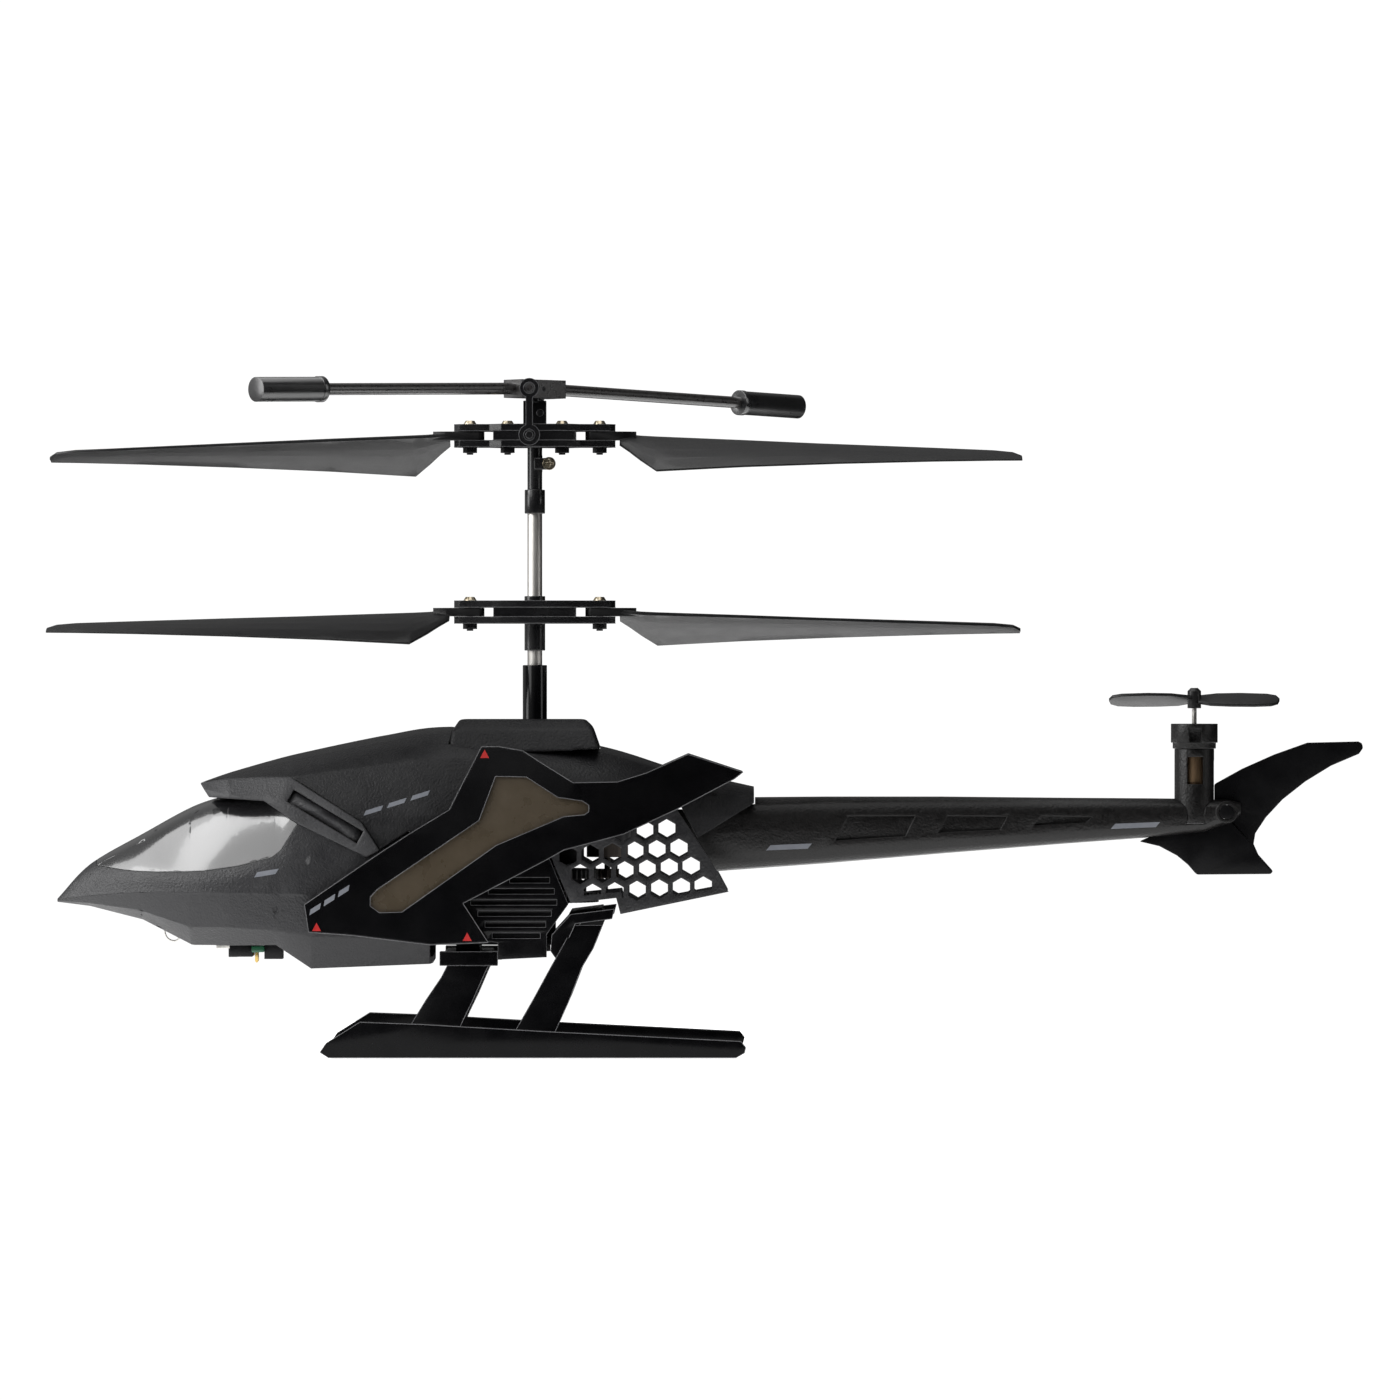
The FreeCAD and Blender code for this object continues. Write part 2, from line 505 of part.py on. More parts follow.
# ---- rotors -------------------------------------------------------------------------------
def blade(hand, droop, pitch_root, pitch_tip):
    """A rotor blade along +X from its pivot screw, whose leading edge is towards hand * Y."""
    stations = [  # distance from the pivot, leading edge ahead, trailing edge behind
        (3.4, 2.2, 3.4), (5.0, 2.5, 6.4), (7.0, 2.9, 10.8), (9.7, 3.2, 16.8), (24.0, 3.3, 14.2),
        (40.0, 3.2, 11.6), (56.0, 3.0, 8.8), (66.6, 2.8, 6.8), (69.8, 1.4, 6.3), (BLADE_LEN, -2.6, 6.0),
    ]
    wires = []
    for s, ahead, behind in stations:
        share = s / BLADE_LEN
        pitch = math.radians(pitch_root + (pitch_tip - pitch_root) * share)
        base = -0.9 * min(1.0, s / 8.0) - droop * share
        thick = 0.95 - 0.35 * share
        chord = ahead + behind
        camber = 0.05 * chord
        upper, lower = [], []
        for k in range(6):
            u = k / 5.0
            across = ahead - u * chord
            hump = camber * 4 * u * (1 - u)
            body = thick * (0.5 if 0 < u < 1 else 0.28) * (1.15 - 0.5 * u)
            for side, row in ((1, upper), (-1, lower)):
                h = hump + side * body
                y = across * math.cos(pitch) - h * math.sin(pitch)
                z = across * math.sin(pitch) + h * math.cos(pitch)
                row.append((hand * y, z + base))
        wires.append(polygon(upper + lower[::-1], "yz", s))
    vane = Part.makeLoft(wires, True, True)
    root = prism([(-2.4, -1.6), (-1.6, -2.4), (4.0, -2.2), (6.2, -1.4), (6.2, 1.4), (4.0, 2.2), (-1.6, 2.4),
                  (-2.4, 1.6)], -ROOT_T / 2, ROOT_T / 2, "xy")
    whole = vane.fuse(root)
    return whole.cut(rod(0.75, (0, 0, -3), (0, 0, 3)))


def make_blades():
    """Each blade is made once and placed at its pivot; both rotors turn opposite ways."""
    upper = blade(1, 2.4, 19.0, 9.0)
    lower = blade(-1, 1.8, 16.0, 7.0)
    for level, shape, z in (("upper", upper, UPPER_Z), ("lower", lower, LOWER_Z)):
        rear = shape.copy()
        rear.translate(V(MAST_X + PIVOT_R, 0, z))
        keep("blade_%s_rear" % level, rear)
        keep("blade_%s_front" % level, turned(rear, 180))


def clamp_outline(middle):
    """A clamp plate seen from above: rounded ends and a wider middle."""
    end, half = CLAMP_END, 2.5
    quarter = [(end, 1.2), (end - 0.9, half - 0.2), (end - 2.0, half), (7.6, half), (5.6, middle)]
    points = quarter + [(-x, y) for x, y in reversed(quarter)]
    points += [(-x, -y) for x, y in points]
    return [(MAST_X + x, y) for x, y in points]


def make_lower_hub():
    """The lower hub: two clamp plates round a solid middle, with a collar and a sleeve."""
    low, high = LOWER_Z - PLATE_GAP / 2, LOWER_Z + PLATE_GAP / 2
    outline = clamp_outline(3.4)
    plates = [prism(outline, low - PLATE_T, low, "xy"), prism(outline, high, high + PLATE_T, "xy")]
    middle = box(MAST_X - 6.9, MAST_X + 6.9, -3.0, 3.0, low, high)
    collar = rod(1.75, (MAST_X, 0, 67.9), (MAST_X, 0, 77.0))
    hub = fuse(plates + [middle, collar]).cut(rod(OUTER_R, (MAST_X, 0, 60), (MAST_X, 0, 80)))
    for side in (-1, 1):
        hub = hub.cut(rod(0.6, (MAST_X + side * PIVOT_R, 0, 70), (MAST_X + side * PIVOT_R, 0, 80)))
    keep("lower_hub", hub)
    keep("lower_blade_screws", pivot_screws([-PIVOT_R, PIVOT_R], LOWER_Z))


def pivot_screws(offsets, z):
    """Cross-head screws down through the clamp plates, each with its hexagon nut underneath."""
    top = z + PLATE_GAP / 2 + PLATE_T
    under = z - PLATE_GAP / 2 - PLATE_T - 0.02
    screws = []
    for dx in offsets:
        x = MAST_X + dx
        head = Part.makeCone(1.15, 0.75, 0.65, V(x, 0, top + 0.02))
        head = head.cut(box(x - 0.7, x + 0.7, -0.14, 0.14, top + 0.35, top + 1))
        head = head.cut(box(x - 0.14, x + 0.14, -0.7, 0.7, top + 0.35, top + 1))
        corners = []
        for k in range(6):
            angle = math.radians(60 * k)
            corners.append((x + 1.2 * math.cos(angle), 1.2 * math.sin(angle)))
        nut = prism(corners, under - 0.95, under, "xy")
        shank = rod(0.55, (x, 0, under - 1.25), (x, 0, top + 0.1))
        screws.append(fuse([head, shank, nut]))
    return Part.makeCompound(screws)


def make_yoke():
    """The upper blade yoke: two clamp plates on two spacers, with a link stud on each side."""
    low, high = UPPER_Z - PLATE_GAP / 2, UPPER_Z + PLATE_GAP / 2
    inner = box(MAST_X - 3.3, MAST_X + 3.3, -3.1, 3.1, 100, 108)
    bottom = prism(clamp_outline(4.4), low - PLATE_T, low, "xy")
    ring = box(MAST_X - 6.9, MAST_X + 6.9, -4.3, 4.3, low, high - 0.01)
    lower_half = fuse([bottom, ring]).cut(inner)
    lower_half = lower_half.cut(rod(0.45, (MAST_X - 8, 0, UPPER_Z), (MAST_X + 8, 0, UPPER_Z)))
    top = prism(clamp_outline(4.4), high, high + PLATE_T, "xy").cut(inner)
    for dx in (-PIVOT_R, PIVOT_R, -YOKE_SCREW_X, YOKE_SCREW_X):
        hole = rod(0.6, (MAST_X + dx, 0, 95), (MAST_X + dx, 0, 110))
        lower_half = lower_half.cut(hole)
        top = top.cut(hole)
    for side in (-1, 1):
        y = (side * 4.2, side * 6.9)
        stud = rod(0.6, (MAST_X + side * -LINK_X, y[0], UPPER_Z), (MAST_X + side * -LINK_X, y[1], UPPER_Z))
        lower_half = lower_half.fuse(stud)
    keep("yoke_lower", lower_half)
    keep("yoke_upper", top)
    keep("upper_blade_screws", pivot_screws([-PIVOT_R, -YOKE_SCREW_X, YOKE_SCREW_X, PIVOT_R], UPPER_Z))


def make_head():
    """The head on the inner shaft: a clamped socket, the yoke's trunnions and the flybar's post."""
    socket = rod(1.25, (MAST_X, 0, 95.05), (MAST_X, 0, 102.5))
    block = box(MAST_X - 2.2, MAST_X + 2.2, -2.0, 2.0, 102.2, 106.0)
    post = box(MAST_X - 1.9, MAST_X + 1.9, -0.8, 0.8, 105.8, 110.0)
    top = rod(1.0, (MAST_X, 0, 109.8), (MAST_X, 0, 113.4))
    lug = box(MAST_X, HEAD_SCREW_X, -1.7, 1.7, 98.5, 100.3)
    lug = lug.fuse(rod(0.9, (HEAD_SCREW_X, -1.7, 99.4), (HEAD_SCREW_X, 1.7, 99.4)))
    head = fuse([socket, block, post, top, lug])
    head = head.cut(rod(0.52, (HEAD_SCREW_X, -9, 99.4), (HEAD_SCREW_X, 9, 99.4)))
    head = head.cut(box(MAST_X + 0.9, MAST_X + 4, -0.2, 0.2, 98.0, 100.8))
    head = head.cut(rod(INNER_R, (MAST_X, 0, 90), (MAST_X, 0, 101.5)))
    head = head.cut(rod(0.6, (MAST_X + 0.9, -3, 108.0), (MAST_X + 0.9, 3, 108.0)))
    for side in (-1, 1):
        head = head.fuse(rod(0.4, (MAST_X + side * 2.1, 0, UPPER_Z), (MAST_X + side * 3.9, 0, UPPER_Z)))
    hinge = hinge_direction()
    arm = hinge * 2.2
    pin = rod(0.4, (MAST_X - arm.x, -arm.y, FLYBAR_Z), (MAST_X + arm.x, arm.y, FLYBAR_Z))
    keep("rotor_head", fuse([head, pin]))
    screw = rod(1.1, (HEAD_SCREW_X, -2.45, 99.4), (HEAD_SCREW_X, -1.75, 99.4))
    screw = screw.fuse(rod(0.48, (HEAD_SCREW_X, -2.0, 99.4), (HEAD_SCREW_X, 1.9, 99.4)))
    for wide, high in ((0.7, 0.14), (0.14, 0.7)):
        slot = box(HEAD_SCREW_X - wide, HEAD_SCREW_X + wide, -3.0, -2.2, 99.4 - high, 99.4 + high)
        screw = screw.cut(slot)
    keep("head_clamp_screw", screw)


def hinge_direction():
    angle = math.radians(FLYBAR_ANGLE + 90)
    return V(math.cos(angle), math.sin(angle), 0)


def make_flybar():
    """The flybar: a frame hinged across the head, a drooping rod each way and two end weights."""
    frame = box(-4.9, 4.9, -2.3, 2.3, -1.5, 1.5).cut(box(-3.1, 3.1, -1.4, 1.4, -3, 3))
    frame = frame.cut(rod(0.46, (0, -5, 0), (0, 5, 0)))
    weights = []
    arms = [frame]
    slope = math.degrees(math.atan2(FLYBAR_DROOP, FLYBAR_HALF - 6.0))
    for side in (-1, 1):
        arm = rod(1.0, (side * 4.4, 0, 0), (side * (FLYBAR_HALF - WEIGHT_LEN + 6.0), 0, 0))
        end = FLYBAR_HALF
        weight = rod(WEIGHT_R, (side * (end - WEIGHT_LEN), 0, 0), (side * end, 0, 0))
        lip = rod(WEIGHT_R + 0.12, (side * (end - WEIGHT_LEN), 0, 0), (side * (end - WEIGHT_LEN + 1.0), 0, 0))
        weight = weight.fuse(lip).cut(rod(1.0, (side * 30, 0, 0), (side * (end - WEIGHT_LEN + 6.0), 0, 0)))
        for shape in (arm, weight):
            shape.rotate(V(side * 4.6, 0, 0), Y_AXIS, side * slope)
        arms.append(arm)
        weights.append(weight)
    whole = fuse(arms)
    for shape in [whole] + weights:
        shape.rotate(V(0, 0, 0), Z_AXIS, FLYBAR_ANGLE)
        shape.translate(V(MAST_X, 0, FLYBAR_Z))
    studs = []
    for side in (-1, 1):
        x = MAST_X + side * -LINK_X
        studs.append(rod(0.6, (x, side * 3.4, FLYBAR_Z), (x, side * 6.9, FLYBAR_Z)))
    keep("flybar", fuse([whole] + studs))
    keep("flybar_weight_front", weights[0])
    keep("flybar_weight_rear", weights[1])


def make_links():
    """The two link rods from the flybar to the yoke, each with an eye at both ends."""
    for name, side in (("link_rod_left", -1), ("link_rod_right", 1)):
        x = MAST_X + side * -LINK_X
        y0, y1 = side * (LINK_Y - 0.5), side * (LINK_Y + 0.5)
        lower_eye = rod(1.75, (x, y0, UPPER_Z), (x, y1, UPPER_Z))
        upper_eye = rod(1.6, (x, y0, FLYBAR_Z), (x, y1, FLYBAR_Z))
        bar = box(x - 0.55, x + 0.55, min(y0, y1), max(y0, y1), UPPER_Z, FLYBAR_Z)
        shape = fuse([lower_eye, upper_eye, bar])
        for z in (UPPER_Z, FLYBAR_Z):
            shape = shape.cut(rod(0.95, (x, -9, z), (x, 9, z)))
        keep(name, shape)


def gear(teeth, bore_r, x, y, z, phase):
    """A spur gear with straight-flanked teeth on a web."""
    pitch_r = GEAR_MODULE * teeth / 2
    tip, root = pitch_r + 0.85 * GEAR_MODULE, pitch_r - 1.15 * GEAR_MODULE
    step = 2 * math.pi / teeth
    points = []
    for k in range(teeth):
        for radius, offset in ((root, -0.30), (tip, -0.10), (tip, 0.10), (root, 0.30)):
            angle = phase + (k + offset) * step
            points.append((x + radius * math.cos(angle), y + radius * math.sin(angle)))
    return prism(points, z, z + GEAR_T, "xy").cut(rod(bore_r, (x, y, z - 1), (x, y, z + 5)))


def motor_x(side):
    """The front (-1) or rear (1) motor's axis: its pinion just meshes with the main gear."""
    return MAST_X + side * GEAR_MODULE * (GEAR_TEETH + PINION_TEETH) / 2


def make_drive():
    """Both shafts, both main gears, both motors and their pinions."""
    keep("inner_shaft", rod(INNER_R, (MAST_X, 0, 22.2), (MAST_X, 0, 101.4)))
    keep("outer_shaft", tube(OUTER_R, INNER_R + RUN + 0.04, MAST_X, 28.2, OUTER_TOP))
    holes = []
    for k in range(6):
        angle = math.radians(60 * k)
        x, y = MAST_X + 6.2 * math.cos(angle), 6.2 * math.sin(angle)
        holes.append(rod(1.8, (x, y, 20), (x, y, 50)))
    step = 2 * math.pi / PINION_TEETH
    drives = (("lower", "front", -1, LOWER_GEAR_Z, INNER_R), ("upper", "rear", 1, UPPER_GEAR_Z, OUTER_R))
    for gear_name, motor_name, side, z, shaft_r in drives:
        x = motor_x(side)
        toward = 0.0 if side > 0 else math.pi
        wheel = gear(GEAR_TEETH, shaft_r, MAST_X, 0, z, toward).cut(Part.makeCompound(holes))
        hub = tube(2.6, shaft_r, MAST_X, z - 0.9, z + GEAR_T + 0.6)
        keep("main_gear_" + gear_name, fuse([wheel, hub]))
        pinion = gear(PINION_TEETH, 0.4, x, 0, z, toward + math.pi + step / 2)
        shaft = rod(0.5, (x, 0, z), (x, 0, MOTOR_Z - 0.1))
        keep("pinion_" + motor_name, fuse([pinion, shaft]))
        can = rod(MOTOR_R, (x, 0, MOTOR_Z), (x, 0, MOTOR_Z + MOTOR_LEN))
        keep("motor_" + motor_name, can.makeFillet(0.4, can.Edges[:1]))
    keep("shaft_bush_top", top_bush())


def top_bush():
    """A bush pressed over the outer shaft's top that guides the inner shaft."""
    sleeve = tube(BUSH_R, OUTER_R, MAST_X, BUSH_Z[0], OUTER_TOP)
    return fuse([sleeve, tube(BUSH_R, INNER_R + RUN, MAST_X, OUTER_TOP, BUSH_Z[1])])


def make_chassis():
    """The inner frame that holds the motors, shafts, board and boom, with the fixed mast sleeve."""
    base = box(-60.0, -25.2, -12.2, 12.2, 18.5, 19.7)
    post = box(-46.6, -45.0, -6.0, 6.0, 19.7, 42.0)
    foot = box(MAST_X - 3.5, MAST_X + 3.5, -4, 4, 19.7, 24.0)
    spacer = box(-42.0, -38.0, -6.0, 6.0, 17.3, 18.5)
    top = box(-46.6, -10.5, -5.6, 5.6, 39.4, 41.0)
    tab = box(-10.5, 3.0, -2.2, 2.2, 39.4, 40.9)
    pieces = [base, post, foot, spacer, top, tab]
    for side in (-1, 1):
        pieces.append(rod(MOTOR_R + 0.9, (motor_x(side), 0, 35.5), (motor_x(side), 0, 39.4)))
    frame = fuse(pieces)
    for side in (-1, 1):
        frame = frame.cut(rod(MOTOR_R, (motor_x(side), 0, 35.0), (motor_x(side), 0, 50.0)))
    frame = frame.cut(rod(INNER_R + RUN, (MAST_X, 0, 22.0), (MAST_X, 0, 25.0)))
    frame = frame.cut(rod(SLEEVE_R, (MAST_X, 0, 39.0), (MAST_X, 0, 43.0)))
    keep("chassis_frame", frame)
    keep("mast_sleeve", tube(SLEEVE_R, OUTER_R + RUN, MAST_X, 38.4, SLEEVE_TOP))


# ---- electrics ----------------------------------------------------------------------------
def make_electrics():
    """Board, battery, power switch and charging socket."""
    keep("circuit_board", box(-83.6, -58.0, -6.0, 6.0, 19.7, 20.7))
    keep("battery", box(-75.0, -48.5, -7.6, 7.6, 20.7, 28.7))
    housing = box(-82.6, -78.1, -2.2, 2.2, 17.6, 19.7).cut(box(-81.8, -78.9, -0.9, 0.9, 17.0, 18.8))
    keep("switch_housing", housing)
    keep("switch_slider", box(-80.6, -79.0, -0.8, 0.8, 16.1, 18.7))
    socket = box(-74.5, -71.4, -1.9, 1.9, 15.8, 19.7)
    keep("charge_socket", socket.cut(rod(0.9, (SOCKET_X, 0, 15.0), (SOCKET_X, 0, 18.8))))


SOCKET_X = -72.95


# ---- build --------------------------------------------------------------------------------
def main():
    for step in (make_shells, make_shell_screws, make_canopy, make_roof, make_mast_cowl, make_side_panels,
                 make_boom, make_fin, make_tail_motor, make_skids, make_blades, make_lower_hub, make_yoke,
                 make_head, make_flybar, make_links, make_drive, make_chassis, make_electrics):
        step()
    os.makedirs("parts", exist_ok=True)
    for name, shape in sorted(PARTS.items()):
        solids = [s for s in shape.Solids]
        whole = solids[0] if len(solids) == 1 else Part.makeCompound(solids)
        box_ = whole.BoundBox
        print("%-22s solids %d valid %s vol %9.2f  x %.1f..%.1f y %.1f..%.1f z %.1f..%.1f" % (
            name, len(solids), whole.isValid(), whole.Volume, box_.XMin, box_.XMax, box_.YMin, box_.YMax,
            box_.ZMin, box_.ZMax))
        whole.exportStep(os.path.join("parts", name + ".step"))
    print(len(PARTS), "parts")


main()
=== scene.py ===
"""The helicopter's finished look: refined meshes, materials, light and camera over the CAD frame."""

import json
import math

import bmesh
import bpy
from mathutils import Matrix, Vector
from mathutils.bvhtree import BVHTree


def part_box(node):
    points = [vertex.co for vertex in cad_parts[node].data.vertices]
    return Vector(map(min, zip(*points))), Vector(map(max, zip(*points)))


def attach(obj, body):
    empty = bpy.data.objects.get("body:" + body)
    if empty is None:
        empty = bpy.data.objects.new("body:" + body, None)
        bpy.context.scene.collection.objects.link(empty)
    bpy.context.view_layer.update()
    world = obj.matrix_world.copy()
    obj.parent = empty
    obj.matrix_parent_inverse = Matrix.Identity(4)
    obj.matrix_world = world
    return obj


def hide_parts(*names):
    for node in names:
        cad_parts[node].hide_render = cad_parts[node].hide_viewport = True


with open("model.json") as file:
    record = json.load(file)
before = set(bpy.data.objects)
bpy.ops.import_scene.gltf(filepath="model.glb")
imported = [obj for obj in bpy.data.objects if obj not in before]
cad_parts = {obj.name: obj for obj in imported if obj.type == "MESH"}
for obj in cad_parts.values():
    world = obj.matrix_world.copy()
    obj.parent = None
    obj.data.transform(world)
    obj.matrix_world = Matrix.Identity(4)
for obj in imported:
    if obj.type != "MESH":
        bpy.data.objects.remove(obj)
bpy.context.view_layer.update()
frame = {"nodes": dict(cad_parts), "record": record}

NODES = frame["nodes"]
MM = 0.001
WELD_GAP = 0.000004         # the CAD mesh's corners closer than this are one corner


# ---- materials ----------------------------------------------------------------------------
def new_material(name):
    mat = bpy.data.materials.new(name)
    mat.use_nodes = True
    tree = mat.node_tree
    return mat, tree, tree.nodes["Principled BSDF"]


def link(tree, a, out, b, into):
    tree.links.new(a.outputs[out], b.inputs[into])


def add(tree, kind, **inputs):
    node = tree.nodes.new(kind)
    for key, value in inputs.items():
        node.inputs[key.replace("_", " ")].default_value = value
    return node


def coords(tree):
    return add(tree, "ShaderNodeTexCoord")


def noise(tree, source, scale, detail=3.0, rough=0.6, stretch=(1, 1, 1)):
    """A noise texture in the object's own metres."""
    mapping = add(tree, "ShaderNodeMapping", Scale=stretch)
    link(tree, source, "Object", mapping, "Vector")
    tex = add(tree, "ShaderNodeTexNoise", Scale=scale, Detail=detail, Roughness=rough)
    link(tree, mapping, "Vector", tex, "Vector")
    return tex


def ramp(tree, source, out, low, high, a=0.0, b=1.0):
    node = add(tree, "ShaderNodeMapRange", From_Min=low, From_Max=high, To_Min=a, To_Max=b)
    link(tree, source, out, node, "Value")
    return node


def rounded(tree, radius):
    """The normal of edges rounded to a radius in mm."""
    node = add(tree, "ShaderNodeBevel", Radius=radius * MM)
    node.samples = 6
    return node


def mix(tree, factor, out, a, b):
    node = tree.nodes.new("ShaderNodeMix")
    node.data_type = "RGBA"
    node.inputs[6].default_value = (*a, 1.0)
    node.inputs[7].default_value = (*b, 1.0)
    tree.links.new(factor.outputs[out], node.inputs[0])
    return node


def plastic(name, colour, light, rough, spread, grain, bump, coat=0.0, coat_rough=0.05, smear=220.0,
            specular=0.5, edge=0.2, relief=0.06):
    """Moulded plastic: fine grain in bump, a little unevenness in colour and in roughness."""
    mat, tree, shader = new_material(name)
    source = coords(tree)
    cloud = noise(tree, source, smear, 4.0)
    tone = ramp(tree, cloud, "Fac", 0.35, 0.68)
    colours = mix(tree, tone, "Result", colour, light)
    tree.links.new(colours.outputs[2], shader.inputs["Base Color"])
    roughness = ramp(tree, cloud, "Fac", 0.3, 0.7, rough - spread, rough + spread)
    link(tree, roughness, "Result", shader, "Roughness")
    if bump:
        fine = noise(tree, source, grain, 2.0)
        node = add(tree, "ShaderNodeBump", Strength=bump, Distance=relief * MM)
        link(tree, fine, "Fac", node, "Height")
        if edge:
            link(tree, rounded(tree, edge), "Normal", node, "Normal")
        link(tree, node, "Normal", shader, "Normal")
    shader.inputs["Specular IOR Level"].default_value = specular
    shader.inputs["Coat Weight"].default_value = coat
    shader.inputs["Coat Roughness"].default_value = coat_rough
    return mat


def metal(name, colour, light, rough, spread, stretch, scale=900.0, bump=0.15, black_below=None):
    """Drawn or turned metal with fine lines along or round the part."""
    mat, tree, shader = new_material(name)
    source = coords(tree)
    lines = noise(tree, source, scale, 3.0, 0.7, stretch)
    colours = mix(tree, ramp(tree, lines, "Fac", 0.35, 0.65), "Result", colour, light)
    tree.links.new(colours.outputs[2], shader.inputs["Base Color"])
    roughness = ramp(tree, lines, "Fac", 0.3, 0.7, rough - spread, rough + spread)
    link(tree, roughness, "Result", shader, "Roughness")
    shader.inputs["Metallic"].default_value = 1.0
    node = add(tree, "ShaderNodeBump", Strength=bump, Distance=0.00003)
    link(tree, lines, "Fac", node, "Height")
    link(tree, rounded(tree, 0.12), "Normal", node, "Normal")
    link(tree, node, "Normal", shader, "Normal")
    if black_below is not None:
        # The nuts under the rotor are blacked, the screw heads above it are plated.
        height = tree.nodes.new("ShaderNodeSeparateXYZ")
        link(tree, source, "Object", height, "Vector")
        above = ramp(tree, height, "Z", black_below * MM - 0.0001, black_below * MM + 0.0001)
        link(tree, above, "Result", shader, "Metallic")
        tint = mix(tree, above, "Result", (0.008, 0.008, 0.009), colour)
        tree.links.new(colours.outputs[2], tint.inputs[7])
        tree.links.new(tint.outputs[2], shader.inputs["Base Color"])
    return mat


UPPER_Z, LOWER_Z = 104.1, 74.35     # the rotors' blade planes
MATS = {
    "shell_matte": plastic("shell matte", (0.017, 0.017, 0.019), (0.026, 0.026, 0.028),
                           0.46, 0.07, 2600, 1.0, edge=0.3, relief=0.12),
    "brow_matte": plastic("brow matte", (0.034, 0.034, 0.036), (0.046, 0.046, 0.049),
                          0.50, 0.07, 2600, 1.0, edge=0.35, relief=0.12),
    "black_gloss": plastic("black gloss", (0.003, 0.003, 0.0035), (0.005, 0.005, 0.0055),
                           0.13, 0.03, 900, 0.04, coat=0.15, coat_rough=0.04, specular=0.30, edge=0.35),
    "vent_gloss": plastic("vent gloss", (0.003, 0.003, 0.0035), (0.005, 0.005, 0.0055),
                          0.20, 0.04, 1800, 0.15, specular=0.22, edge=0.2),
    "canopy_glass": plastic("canopy glass", (0.006, 0.006, 0.007), (0.009, 0.009, 0.010),
                            0.17, 0.03, 700, 0.03, coat=1.0, coat_rough=0.07, specular=0.8),
    "smoke_window": plastic("smoke window", (0.062, 0.048, 0.031), (0.080, 0.063, 0.043),
                            0.28, 0.03, 1500, 0.10, coat=0.3, coat_rough=0.10, edge=0),
    "boom_satin": plastic("boom satin", (0.0045, 0.0042, 0.0042), (0.009, 0.0084, 0.0082),
                          0.36, 0.06, 2600, 1.0, smear=1400.0, relief=0.10, specular=0.38),
    "hub_satin": plastic("hub satin", (0.010, 0.010, 0.011), (0.016, 0.016, 0.017),
                         0.24, 0.05, 2200, 0.25, coat=0.5, coat_rough=0.12, edge=0.3),
    "blade_black": plastic("blade black", (0.007, 0.007, 0.0075), (0.011, 0.011, 0.0115),
                           0.38, 0.04, 3000, 0.45, specular=0.42),
    "bar_satin": plastic("bar satin", (0.022, 0.020, 0.020), (0.045, 0.041, 0.040),
                         0.30, 0.05, 2600, 0.35, smear=1400.0, coat=1.0, coat_rough=0.25, specular=0.9,
                         edge=0),
    # The roof's plastic is the shell's made darker: painted shade, for a roof lit less from above.
    "roof_painted_shade": plastic("roof painted shade", (0.010, 0.010, 0.011), (0.017, 0.017, 0.018),
                          0.44, 0.07, 2600, 1.0, edge=0.3, relief=0.12, specular=0.32),
    "steel": metal("steel", (0.66, 0.64, 0.61), (0.86, 0.84, 0.80), 0.44, 0.06, (1, 1, 0.02)),
    "screw_brass": metal("screw brass", (0.50, 0.42, 0.28), (0.72, 0.64, 0.50), 0.30, 0.06, (1, 1, 1)),
    "screws_upper": metal("screws upper", (0.50, 0.42, 0.28), (0.72, 0.64, 0.50),
                          0.30, 0.06, (1, 1, 1), black_below=UPPER_Z),
    "screws_lower": metal("screws lower", (0.50, 0.42, 0.28), (0.72, 0.64, 0.50),
                          0.30, 0.06, (1, 1, 1), black_below=LOWER_Z),
    "print_grey": plastic("print grey", (0.165, 0.175, 0.20), (0.20, 0.21, 0.235), 0.5, 0.05, 4000, 0.3),
    "print_red": plastic("print red", (0.42, 0.010, 0.010), (0.50, 0.016, 0.014), 0.4, 0.05, 4000, 0.3),
    "motor_can": metal("motor can", (0.20, 0.13, 0.075), (0.30, 0.20, 0.12), 0.42, 0.06, (1, 1, 0.05)),
    "gear_white": plastic("gear", (0.016, 0.016, 0.016), (0.024, 0.024, 0.023), 0.40, 0.05, 2500, 0.2),
    "header_gold": metal("header gold", (0.58, 0.40, 0.12), (0.72, 0.54, 0.22), 0.34, 0.05, (1, 1, 0.1)),
    "skid_gloss": plastic("skid gloss", (0.0022, 0.0022, 0.0026), (0.004, 0.004, 0.0045),
                          0.24, 0.04, 1500, 0.1, specular=0.12, edge=0.3),
    "fin_black": plastic("fin black", (0.004, 0.004, 0.0045), (0.006, 0.006, 0.0065),
                         0.34, 0.05, 3000, 0.4, specular=0.12, edge=0.15),
    # A light grey for the tubes that paint highlights along glossy edges.
    "edge_sheen": plastic("edge sheen", (0.085, 0.085, 0.09), (0.14, 0.14, 0.145),
                          0.25, 0.08, 900, 0.1, edge=0),
    "motor_dark": metal("motor dark", (0.035, 0.03, 0.027), (0.06, 0.052, 0.045), 0.42, 0.06, (1, 1, 0.05)),
    "frame_black": plastic("frame black", (0.005, 0.005, 0.006), (0.008, 0.008, 0.009),
                           0.32, 0.05, 3000, 0.3, specular=0.25),
    "weight_black": plastic("weight black", (0.014, 0.014, 0.015), (0.022, 0.022, 0.023),
                            0.30, 0.05, 2600, 0.3, coat=1.0, coat_rough=0.22, specular=0.9, edge=0),
    "board_green": plastic("board green", (0.012, 0.10, 0.045), (0.020, 0.14, 0.07), 0.35, 0.05, 1500, 0.1),
    "cell_wrap": plastic("cell wrap", (0.06, 0.065, 0.07), (0.09, 0.095, 0.10), 0.35, 0.08, 600, 0.3),
}
